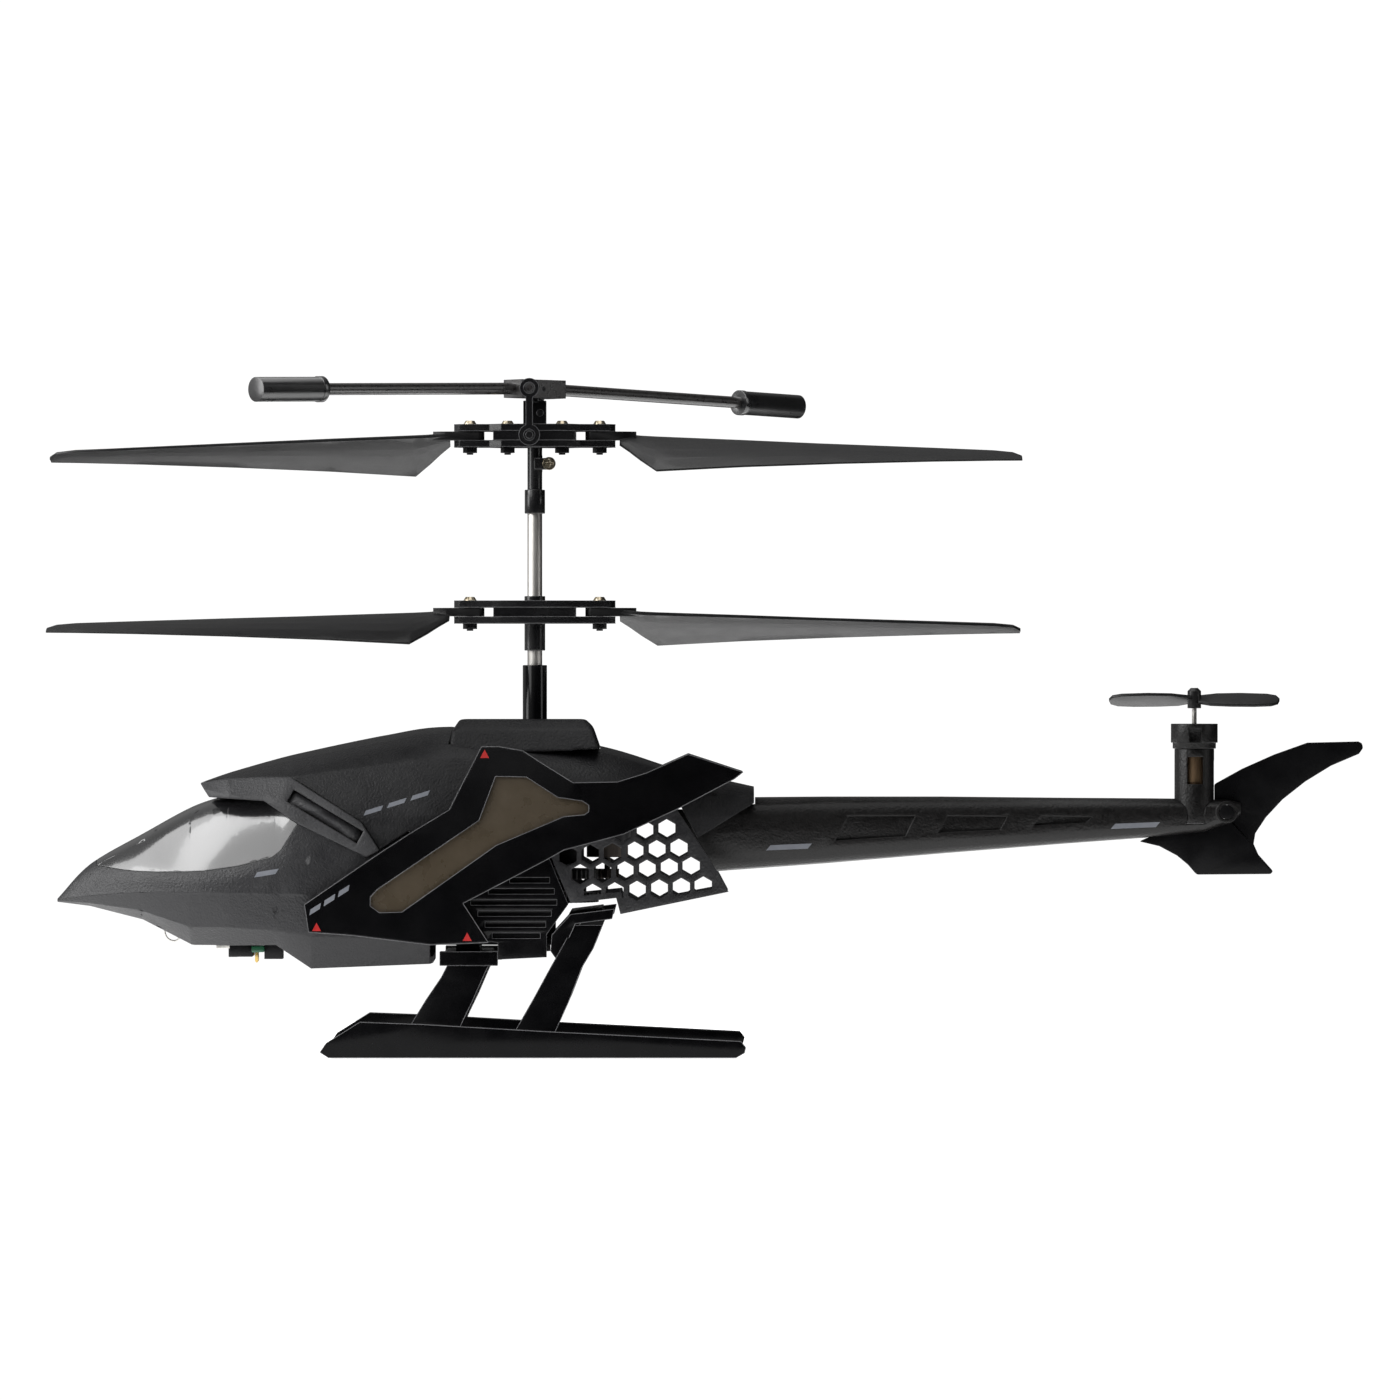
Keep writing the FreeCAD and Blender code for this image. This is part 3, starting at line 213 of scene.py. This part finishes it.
FINISH = {  # nodes with a finish of their own
    "upper_blade_screws": "screws_upper", "lower_blade_screws": "screws_lower",
    "side_vent_left": "vent_gloss", "side_vent_right": "vent_gloss", "canopy_frame": "brow_matte",
    "skid_left": "skid_gloss", "skid_right": "skid_gloss", "skid_bridges": "skid_gloss",
    # The mast cowl takes the roof's darker copy of the shell plastic: painted shade.
    "tail_fin": "fin_black", "tail_fin_pin": "fin_black", "mast_cowl": "roof_painted_shade",
    "flybar": "bar_satin", "motor_front": "motor_dark", "motor_rear": "motor_dark",
    "pinion_front": "motor_dark", "pinion_rear": "motor_dark",
}
for row in frame["record"]["subparts"]:
    mesh = NODES[row["node"]].data
    mesh.materials.clear()
    mesh.materials.append(MATS[FINISH.get(row["node"], row["material_slot"])])


# ---- rounded edges and smooth skins over the CAD nodes ------------------------------------
def smooth_group(limit):
    """A modifier tree that shades smooth across every edge flatter than the limit."""
    tree = bpy.data.node_groups.new("smooth by angle", "GeometryNodeTree")
    tree.interface.new_socket("Geometry", in_out="INPUT", socket_type="NodeSocketGeometry")
    tree.interface.new_socket("Geometry", in_out="OUTPUT", socket_type="NodeSocketGeometry")
    start = tree.nodes.new("NodeGroupInput")
    end = tree.nodes.new("NodeGroupOutput")
    faces = tree.nodes.new("GeometryNodeSetShadeSmooth")
    edges = tree.nodes.new("GeometryNodeSetShadeSmooth")
    edges.domain = "EDGE"
    angle = tree.nodes.new("GeometryNodeInputMeshEdgeAngle")
    flat = tree.nodes.new("FunctionNodeCompare")
    flat.operation = "LESS_EQUAL"
    flat.inputs["B"].default_value = limit
    tree.links.new(angle.outputs["Unsigned Angle"], flat.inputs["A"])
    tree.links.new(start.outputs[0], faces.inputs["Geometry"])
    tree.links.new(faces.outputs[0], edges.inputs["Geometry"])
    tree.links.new(flat.outputs["Result"], edges.inputs["Shade Smooth"])
    tree.links.new(edges.outputs[0], end.inputs[0])
    return tree


SMOOTH = smooth_group(math.radians(32))


def weld(obj):
    obj.modifiers.new("weld", "WELD").merge_threshold = WELD_GAP


def shade(obj):
    obj.modifiers.new("shade", "NODES").node_group = SMOOTH


def bevel(obj, width, segments=2, limit=34.0):
    edges = obj.modifiers.new("edges", "BEVEL")
    edges.width = width * MM
    edges.segments = segments
    edges.limit_method = "ANGLE"
    edges.angle_limit = math.radians(limit)
    edges.use_clamp_overlap = True
    edges.miter_outer = "MITER_ARC"


def round_edges(obj, width, segments=2):
    """Small moulded radii on the part's sharp edges."""
    weld(obj)
    if width:
        bevel(obj, width, segments)
    shade(obj)


def melted(obj, voxel, repeat):
    """A soft moulded block, with its corners melted round. The voxel is in mm."""
    weld(obj)
    remesh = obj.modifiers.new("skin", "REMESH")
    remesh.mode = "VOXEL"
    remesh.voxel_size = voxel * MM
    remesh.use_smooth_shade = True
    melt = obj.modifiers.new("melt", "SMOOTH")
    melt.factor = 0.5
    melt.iterations = repeat


# ---- faired skins -------------------------------------------------------------------------
# Each station: x, then half a section from the top centre, by the crease, to the bottom.
HULL = [
    (-109.5, [(0, 26.0), (0.3, 25.95), (0.6, 25.9), (0.9, 25.75), (0.7, 25.6), (0.4, 25.45), (0, 25.4)]),
    (-104.0, [(0, 31.8), (2.0, 30.9), (3.2, 29.3), (4.4, 26.5), (3.2, 25.3), (1.6, 24.8), (0, 24.7)]),
    (-95.0, [(0, 37.0), (4.0, 35.6), (8.3, 31.0), (9.6, 27.2), (7.6, 24.2), (3.5, 22.6), (0, 22.4)]),
    (-86.5, [(0, 41.6), (6.0, 39.8), (12.2, 30.8), (13.3, 27.3), (11.2, 21.5), (6.5, 18.4), (0, 18.1)]),
    (-80.0, [(0, 43.6), (8.6, 41.9), (14.2, 31.4), (15.2, 27.3), (13.8, 21.5), (9.5, 18.3), (0, 18.1)]),
    (-72.0, [(0, 45.2), (11.2, 42.4), (15.9, 33.5), (16.5, 27.2), (15.6, 21.0), (13.0, 18.5), (0, 18.4)]),
    (-66.0, [(0, 46.2), (13.2, 42.8), (16.2, 35.2), (17.0, 27.0), (16.4, 20.0), (14.6, 14.6), (0, 14.2)]),
    (-46.0, [(0, 46.6), (13.8, 43.0), (16.2, 36.6), (17.0, 27.0), (16.4, 19.5), (15.0, 15.4), (0, 15.1)]),
    (-27.0, [(0, 46.6), (13.8, 43.0), (16.2, 36.6), (17.0, 27.0), (16.4, 19.5), (15.0, 16.6), (0, 16.3)]),
]
ROOF = [
    (-85.2, [(0, 45.6), (3.0, 45.5), (5.4, 45.0), (7.0, 44.2), (7.8, 42.8)]),
    (-80.0, [(0, 47.4), (5.2, 46.9), (9.2, 45.6), (11.4, 43.0), (12.4, 39.6)]),
    (-70.0, [(0, 50.2), (6.4, 49.3), (11.6, 46.6), (14.6, 41.4), (15.6, 35.0)]),
    (-55.0, [(0, 53.4), (6.8, 52.3), (12.6, 48.6), (16.4, 39.8), (17.2, 32.5)]),
    (-43.0, [(0, 55.0), (7.0, 54.0), (12.8, 49.8), (16.6, 40.2), (17.2, 32.5)]),
    (-18.0, [(0, 51.8), (6.5, 50.8), (11.8, 47.5), (15.6, 40.0), (16.2, 33.5)]),
    (-5.0, [(0, 47.9), (5.0, 47.1), (9.0, 44.5), (11.2, 40.0), (12.0, 34.5)]),
    (8.1, [(0, 44.9), (3.0, 44.5), (5.0, 43.4), (5.6, 40.5), (5.8, 36.0)]),
]


def spline(points, share):
    """A point at a share of the way along a smooth curve through the points."""
    last = len(points) - 1
    place = min(share * last, last - 1e-6)
    k = int(place)
    t = place - k
    a, b, c, d = (Vector(points[min(max(k + step, 0), last)]) for step in (-1, 0, 1, 2))
    if k == 0:
        a = 2 * b - c
    if k == last - 1:
        d = 2 * c - b
    square, cube = 2 * a - 5 * b + 4 * c - d, 3 * b - 3 * c + d - a
    return 0.5 * ((2 * b) + (c - a) * t + square * t ** 2 + cube * t ** 3)


def straight(points, share):
    """A point at a share of the way along the straight runs through the points."""
    last = len(points) - 1
    k = min(int(share * last), last - 1)
    return Vector(points[k]).lerp(Vector(points[k + 1]), share * last - k)


GENTLE = 0.65               # how far a gentle curve goes from the straight runs to the spline


def gentle(points, share):
    """A curve that stays nearer to the straight runs."""
    return straight(points, share).lerp(spline(points, share), GENTLE)


def loft_surface(stations, curve, across=24, along=8):
    """A search tree over the surface through the stations, left and right sides."""
    rows = []
    for x, half in stations:
        points = [(0.0, y, z) for y, z in half]
        row = [curve(points, k / across) for k in range(across + 1)]
        rows.append([(x, v.y, v.z) for v in row])
    total = (len(rows) - 1) * along
    lines = list(zip(*rows))
    grid = [[curve(line, k / total) for line in lines] for k in range(total + 1)]
    verts, faces = [], []
    for sign in (-1, 1):
        base = len(verts)
        width = len(grid[0])
        verts += [Vector((p.x, sign * max(p.y, 0.0), p.z)) * MM for row in grid for p in row]
        for i in range(total):
            for j in range(width - 1):
                corner = base + i * width + j
                faces.append((corner, corner + 1, corner + width + 1, corner + width))
    return BVHTree.FromPolygons(verts, faces)


def divided(obj, longest):
    """A copy of the CAD node's mesh, with its long triangles divided."""
    bm = bmesh.new()
    bm.from_mesh(obj.data)
    bmesh.ops.remove_doubles(bm, verts=bm.verts, dist=WELD_GAP)
    for step in range(9):
        long_edges = [e for e in bm.edges if e.calc_length() > longest * MM]
        if not long_edges:
            break
        bmesh.ops.subdivide_edges(bm, edges=long_edges, cuts=1, use_grid_fill=False)
        bmesh.ops.triangulate(bm, faces=[f for f in bm.faces if len(f.verts) > 3])
    bmesh.ops.recalc_face_normals(bm, faces=bm.faces)
    return bm


SKIN_GAP = 0.06             # a corner this near the straight facets, in mm, is on the outer skin


def faired(name, node, surfaces, longest=1.1, edge=0.12):
    """A piece that stands for a CAD node, its outer facets drawn out onto the smooth surface."""
    facets, smooth = surfaces
    bm = divided(NODES[node], longest)
    for vert in bm.verts:
        if facets.find_nearest(vert.co)[3] < SKIN_GAP * MM:
            vert.co = smooth.find_nearest(vert.co)[0]
    bm.normal_update()
    mesh = bpy.data.meshes.new(name)
    bm.to_mesh(mesh)
    bm.free()
    return finish_piece(name, mesh, node, edge)


def finish_piece(name, mesh, node, edge=0.12, body=None):
    """The mesh as a piece on the node's body, in its finish, standing for the node."""
    piece = bpy.data.objects.new(name, mesh)
    bpy.context.scene.collection.objects.link(piece)
    row = SUBPARTS[node]
    mesh.materials.clear()
    mesh.materials.append(MATS[row["material_slot"]])
    if edge:
        bevel(piece, edge, 2, 42.0)
    shade(piece)
    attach(piece, body or "airframe")
    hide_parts(node)
    return piece


SUBPARTS = {row["node"]: row for row in frame["record"]["subparts"]}
# Both surfaces step through the stations alike, the one in straight runs and the other in curves.
CREASE = 3
upper_hull = [(x, half[:CREASE + 1]) for x, half in HULL]
hull_surfaces = [loft_surface(upper_hull, curve) for curve in (straight, spline)]
roof_surfaces = [loft_surface(ROOF, curve) for curve in (straight, gentle)]
faired("hull_left", "fuselage_shell_left", hull_surfaces)
faired("hull_right", "fuselage_shell_right", hull_surfaces)
faired("canopy_glass", "canopy_window", hull_surfaces, edge=0.1).data.materials[0] = MATS["canopy_glass"]
# The roof skin in the darker copy of the shell plastic: painted shade.
faired("roof", "roof_cowl", roof_surfaces).data.materials[0] = MATS["roof_painted_shade"]

EDGES = {  # node: edge radius in mm, where it isn't the usual one
    "skid_left": 0.4, "skid_right": 0.4, "skid_bridges": 0.3, "tail_fin": 0.22, "light_window_left": 0.0,
    "light_window_right": 0.0, "hex_grille_left": 0.12, "hex_grille_right": 0.12, "side_vent_left": 0.12,
    "side_vent_right": 0.12, "rotor_head": 0.0, "lower_hub": 0.0, "yoke_upper": 0.0, "yoke_lower": 0.0,
    "flybar": 0.0, "link_rod_left": 0.0, "link_rod_right": 0.0, "head_clamp_screw": 0.0,
    "side_armour_left": 0.0, "side_armour_right": 0.0, "canopy_frame": 0.22, "tail_boom_left": 0.15,
    "tail_boom_right": 0.15, "flybar_weight_front": 0.35, "flybar_weight_rear": 0.35, "tail_propeller": 0.12,
}
MELTED = {"mast_cowl": (0.26, 26)}
UNSEEN = {"main_gear_lower", "main_gear_upper", "pinion_front", "pinion_rear"}
for name, node in NODES.items():
    if name in MELTED:
        melted(node, *MELTED[name])
    elif name in UNSEEN:
        weld(node)
        shade(node)
    else:
        round_edges(node, EDGES.get(name, 0.1))
swell = NODES["canopy_frame"].modifiers.new("swell", "DISPLACE")
swell.strength = 0.14 * MM
swell.mid_level = 0.0


# ---- small fittings under the nose --------------------------------------------------------
def small_piece(name, bm, mat, edge=0.06):
    """A new piece on the airframe from a bmesh in metres."""
    mesh = bpy.data.meshes.new(name)
    bm.to_mesh(mesh)
    bm.free()
    mesh.materials.append(MATS[mat])
    piece = bpy.data.objects.new(name, mesh)
    bpy.context.scene.collection.objects.link(piece)
    if edge:
        bevel(piece, edge)
    shade(piece)
    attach(piece, "airframe")
    return piece


def stacked(bm, x, y, levels):
    """A square post through levels of (z, half width along x, half width along y), in mm."""
    rings = []
    for z, wide, deep in levels:
        corners = [(-wide, -deep), (wide, -deep), (wide, deep), (-wide, deep)]
        rings.append([bm.verts.new(Vector((x + a, y + b, z)) * MM) for a, b in corners])
    for low, high in zip(rings, rings[1:]):
        for k in range(4):
            bm.faces.new((low[k], low[(k + 1) % 4], high[(k + 1) % 4], high[k]))
    bm.faces.new(rings[0][::-1])
    bm.faces.new(rings[-1])


PIN_PITCH = 1.27


def make_header():
    """The board's edge with its strip of header pins, in the slot under the nose."""
    pins = bmesh.new()
    for k in range(3):
        place = -PIN_PITCH * 1.5 + PIN_PITCH * k
        stacked(pins, -75.8, place, [(15.2, 0.08, 0.08), (15.5, 0.26, 0.26), (17.3, 0.26, 0.26)])
    small_piece("header_pins", pins, "header_gold", 0.03)
    block = bmesh.new()
    stacked(block, -78.3, -0.6, [(16.2, 1.8, 2.2), (16.4, 2.0, 2.4), (18.3, 2.0, 2.4)])
    small_piece("header_block", block, "frame_black")
    board = bmesh.new()
    stacked(board, -75.5, -0.6, [(17.0, 0.95, 3.2), (17.2, 1.05, 3.4), (18.0, 1.05, 3.4)])
    small_piece("board_edge", board, "board_green")


def make_web():
    """The rib that braces the mast sleeve inside, behind the grilles."""
    web = bmesh.new()
    stacked(web, -23.9, 0.0, [(31.8, 2.2, 0.4), (32.6, 2.7, 0.5), (37.2, 2.7, 0.5), (38.0, 2.2, 0.4)])
    small_piece("mast_web", web, "frame_black")


def painted_edge_highlights(name, nodes, radius, body="airframe", sharp=48.0, facing=0.35):
    """Thin light grey tubes along a glossy part's sharp corners on either side: a painted highlight for the
    light that these edges catch.
    """
    curve = bpy.data.curves.new(name, "CURVE")
    curve.dimensions = "3D"
    curve.bevel_depth = radius * MM
    curve.bevel_resolution = 1
    for node in nodes:
        bm = bmesh.new()
        bm.from_mesh(NODES[node].data)
        bmesh.ops.remove_doubles(bm, verts=bm.verts, dist=WELD_GAP)
        bmesh.ops.recalc_face_normals(bm, faces=bm.faces)
        low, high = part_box(node)[0][1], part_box(node)[1][1]
        sides = (1,) if low > 0 else (-1,) if high < 0 else (-1, 1)
        for edge in bm.edges:
            if len(edge.link_faces) != 2 or edge.calc_face_angle() < math.radians(sharp):
                continue
            if max(face.normal.y * side for face in edge.link_faces for side in sides) < facing:
                continue
            run = curve.splines.new("POLY")
            run.points.add(1)
            for point, vert in zip(run.points, edge.verts):
                point.co = (*vert.co, 1.0)
        bm.free()
    curve.materials.append(MATS["edge_sheen"])
    highlight_tubes = bpy.data.objects.new(name, curve)
    bpy.context.scene.collection.objects.link(highlight_tubes)
    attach(highlight_tubes, body)


def make_wire_loop():
    """A small loop of bare wire under the nose."""
    curve = bpy.data.curves.new("wire_loop", "CURVE")
    curve.dimensions = "3D"
    curve.bevel_depth = 0.15 * MM
    curve.bevel_resolution = 3
    run = curve.splines.new("NURBS")
    route = [(-91.3, 21.4), (-91.5, 20.3), (-91.0, 19.2), (-89.9, 18.7), (-88.9, 19.1), (-88.9, 19.9)]
    run.points.add(len(route) - 1)
    for point, (x, z) in zip(run.points, route):
        point.co = (x * MM, 0.0, z * MM, 1.0)
    run.order_u = 3
    run.use_endpoint_u = True
    curve.materials.append(MATS["steel"])
    loop = bpy.data.objects.new("wire_loop", curve)
    bpy.context.scene.collection.objects.link(loop)
    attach(loop, "airframe")


# ---- printed marks ------------------------------------------------------------------------
def tree_of(objs):
    """A search tree over the finished surfaces of some objects."""
    graph = bpy.context.evaluated_depsgraph_get()
    verts, faces = [], []
    for obj in objs:
        mesh = obj.evaluated_get(graph).to_mesh()
        base = len(verts)
        verts += [v.co.copy() for v in mesh.vertices]
        faces += [tuple(base + k for k in poly.vertices) for poly in mesh.polygons]
    return BVHTree.FromPolygons(verts, faces)


def print_mark(name, mat, sides, corners):
    """A thin printed patch over four corners in the side view, laid on both sides of the object."""
    steps = 8
    bm = bmesh.new()
    for side in (-1, 1):
        rows = []
        for i in range(steps + 1):
            row = []
            for j in range(steps // 2 + 1):
                u, v = i / steps, 2 * j / steps
                low = Vector(corners[0]).lerp(Vector(corners[1]), u)
                high = Vector(corners[3]).lerp(Vector(corners[2]), u)
                x, z = low.lerp(high, v) * MM
                hit = sides.ray_cast(Vector((x, side * 0.05, z)), Vector((0, -side, 0)))[0]
                row.append(bm.verts.new((x, hit.y + side * 0.02 * MM, z)))
            rows.append(row)
        for a, b in zip(rows, rows[1:]):
            for k in range(len(a) - 1):
                bm.faces.new((a[k], b[k], b[k + 1], a[k + 1]))
    bmesh.ops.remove_doubles(bm, verts=bm.verts, dist=0.000003)
    bmesh.ops.recalc_face_normals(bm, faces=bm.faces)
    small_piece(name, bm, mat, 0)


def bar(start, end, width):
    """The four corners of a slanted bar between two points in the side view."""
    a, b = Vector(start), Vector(end)
    along = (b - a).normalized()
    up = Vector((-along.y, along.x)) * width / 2
    lean = along * width * 0.45
    return [a - up - lean, b - up - lean, b + up + lean, a + up + lean]


def make_marks():
    """Plain warning triangles and plain bars, in place of any lettering."""
    panels = tree_of([NODES["side_armour_left"], NODES["side_armour_right"]])
    for k, (x, z) in enumerate([(-37.0, 49.8), (-64.9, 21.0), (-39.8, 19.35)]):
        half, high = 0.75, 1.40
        corners = [Vector((x - half, z)), Vector((x + half, z)), Vector((x, z + high)), Vector((x, z + high))]
        print_mark("mark_triangle_%d" % k, "print_red", panels, corners)
    for k in range(3):
        start = Vector((-66.0, 24.1)).lerp(Vector((-59.4, 28.3)), k * 0.36)
        print_mark("mark_panel_%d" % k, "print_grey", panels, bar(start, start + Vector((1.75, 1.1)), 0.75))
    hull = tree_of([bpy.data.objects["hull_left"], bpy.data.objects["hull_right"]])
    print_mark("mark_nose", "print_grey", hull, bar((-75.2, 30.3), (-71.6, 30.9), 0.8))
    roof = tree_of([bpy.data.objects["roof"]])
    for k in range(3):
        start = (-57.0 + k * 3.9, 40.6 + k * 1.25)
        print_mark("mark_roof_%d" % k, "print_grey", roof, bar(start, (start[0] + 2.9, start[1] + 0.9), 0.7))
    boom = tree_of([NODES["tail_boom_left"], NODES["tail_boom_right"]])
    print_mark("mark_boom_front", "print_grey", boom, bar((10.5, 34.6), (17.5, 34.9), 0.85))
    print_mark("mark_boom_rear", "print_grey", boom, bar((68.6, 38.2), (76.2, 38.5), 0.85))


make_header()
make_wire_loop()
make_web()
# Painted highlights: light grey tubes along the sharp edges of the glossy parts.
for side in ("left", "right"):
    painted_edge_highlights("armour_painted_highlights_" + side, ["side_armour_" + side], 0.075)
    painted_edge_highlights("panel_painted_highlights_" + side, ["side_vent_" + side], 0.03)
    painted_edge_highlights("skid_painted_highlights_" + side, ["skid_" + side], 0.06)
    painted_edge_highlights("link_painted_highlights_" + side, ["link_rod_" + side], 0.065, "link_" + side)
painted_edge_highlights("yoke_painted_highlights", ["yoke_upper", "yoke_lower"], 0.05, "upper_yoke")
painted_edge_highlights("head_painted_highlights", ["rotor_head"], 0.05, "inner_rotor")
painted_edge_highlights("hub_painted_highlights", ["lower_hub"], 0.05, "outer_rotor")
painted_edge_highlights("frame_painted_highlights", ["flybar"], 0.035, "flybar")
make_marks()


# ---- studio -------------------------------------------------------------------------------
def make_floor():
    """A small pale table top with round corners, which gives off some light."""
    outline, half, corner = [], 0.19, 0.10
    for k in range(64):
        angle = 2 * math.pi * k / 64
        c, s = math.cos(angle), math.sin(angle)
        across = math.copysign(half - corner, c) + corner * c
        deep = math.copysign(half - corner, s) + corner * s
        outline.append((across, 0.7 * deep + 0.01, 0))
    mesh = bpy.data.meshes.new("floor")
    mesh.from_pydata(outline, [], [tuple(range(64))])
    floor = bpy.data.objects.new("floor", mesh)
    bpy.context.scene.collection.objects.link(floor)
    floor.location.z = -0.0002
    mat, tree, shader = new_material("floor paper")
    cloud = noise(tree, coords(tree), 3.0, 2.0)
    colours = mix(tree, ramp(tree, cloud, "Fac", 0.3, 0.7), "Result", (0.90, 0.90, 0.90), (0.93, 0.93, 0.93))
    tree.links.new(colours.outputs[2], shader.inputs["Base Color"])
    shader.inputs["Roughness"].default_value = 0.9
    shader.inputs["Specular IOR Level"].default_value = 0.1
    shader.inputs["Emission Color"].default_value = (1.0, 1.0, 1.0, 1.0)
    shader.inputs["Emission Strength"].default_value = 0.80
    mesh.materials.append(mat)


def area_light(name, place, target, size, power, size_y=None):
    lamp = bpy.data.lights.new(name, "AREA")
    lamp.shape = "RECTANGLE"
    lamp.size = size
    lamp.size_y = size_y or size
    lamp.energy = power
    obj = bpy.data.objects.new(name, lamp)
    bpy.context.scene.collection.objects.link(obj)
    obj.location = place
    obj.rotation_euler = (Vector(target) - Vector(place)).to_track_quat("-Z", "Y").to_euler()


def make_studio():
    """A white backdrop, and light from above and behind that falls off to a dim front."""
    world = bpy.data.worlds.new("studio")
    bpy.context.scene.world = world
    world.use_nodes = True
    tree = world.node_tree
    lit = tree.nodes["Background"]
    backdrop = add(tree, "ShaderNodeBackground", Strength=1.05)
    towards = tree.nodes.new("ShaderNodeVectorMath")
    towards.operation = "DOT_PRODUCT"
    towards.inputs[1].default_value = (-0.75, 0.10, 0.65)
    link(tree, coords(tree), "Generated", towards, 0)
    glow = ramp(tree, towards, "Value", 0.0, 0.95, 0.008, 0.40)
    link(tree, glow, "Result", lit, "Strength")
    seen = tree.nodes.new("ShaderNodeLightPath")
    choose = tree.nodes.new("ShaderNodeMixShader")
    tree.links.new(seen.outputs["Is Camera Ray"], choose.inputs[0])
    tree.links.new(lit.outputs[0], choose.inputs[1])
    tree.links.new(backdrop.outputs[0], choose.inputs[2])
    tree.links.new(choose.outputs[0], tree.nodes["World Output"].inputs["Surface"])
    for node in (lit, backdrop):
        node.inputs["Color"].default_value = (1.0, 1.0, 1.0, 1.0)
    bpy.context.scene.view_settings.view_transform = "Standard"
    middle = (0, 0, 0.05)
    area_light("top", (-0.05, -0.02, 0.66), middle, 0.85, 1.7, 0.42)
    area_light("front left", (-0.66, -0.38, 0.50), middle, 0.75, 2.8, 0.50)
    area_light("left wall", (-0.80, -0.16, 0.60), middle, 0.60, 4.0, 0.60)
    area_light("left low", (-0.85, -0.20, 0.14), middle, 0.35, 0.9, 0.25)
    area_light("right", (0.70, -0.24, 0.32), middle, 0.20, 0.5, 0.5)


def make_camera():
    data = bpy.data.cameras.new("camera")
    camera = bpy.data.objects.new("camera", data)
    bpy.context.scene.collection.objects.link(camera)
    distance, across = 1.4, 0.2365
    data.sensor_width = 36.0
    data.lens = 36.0 * distance / across
    data.clip_start = 0.05
    camera.location = (-1.0 * MM, -distance, 59.5 * MM)
    camera.rotation_euler = (math.radians(90), 0, 0)
    bpy.context.scene.camera = camera


make_floor()
make_studio()
make_camera()
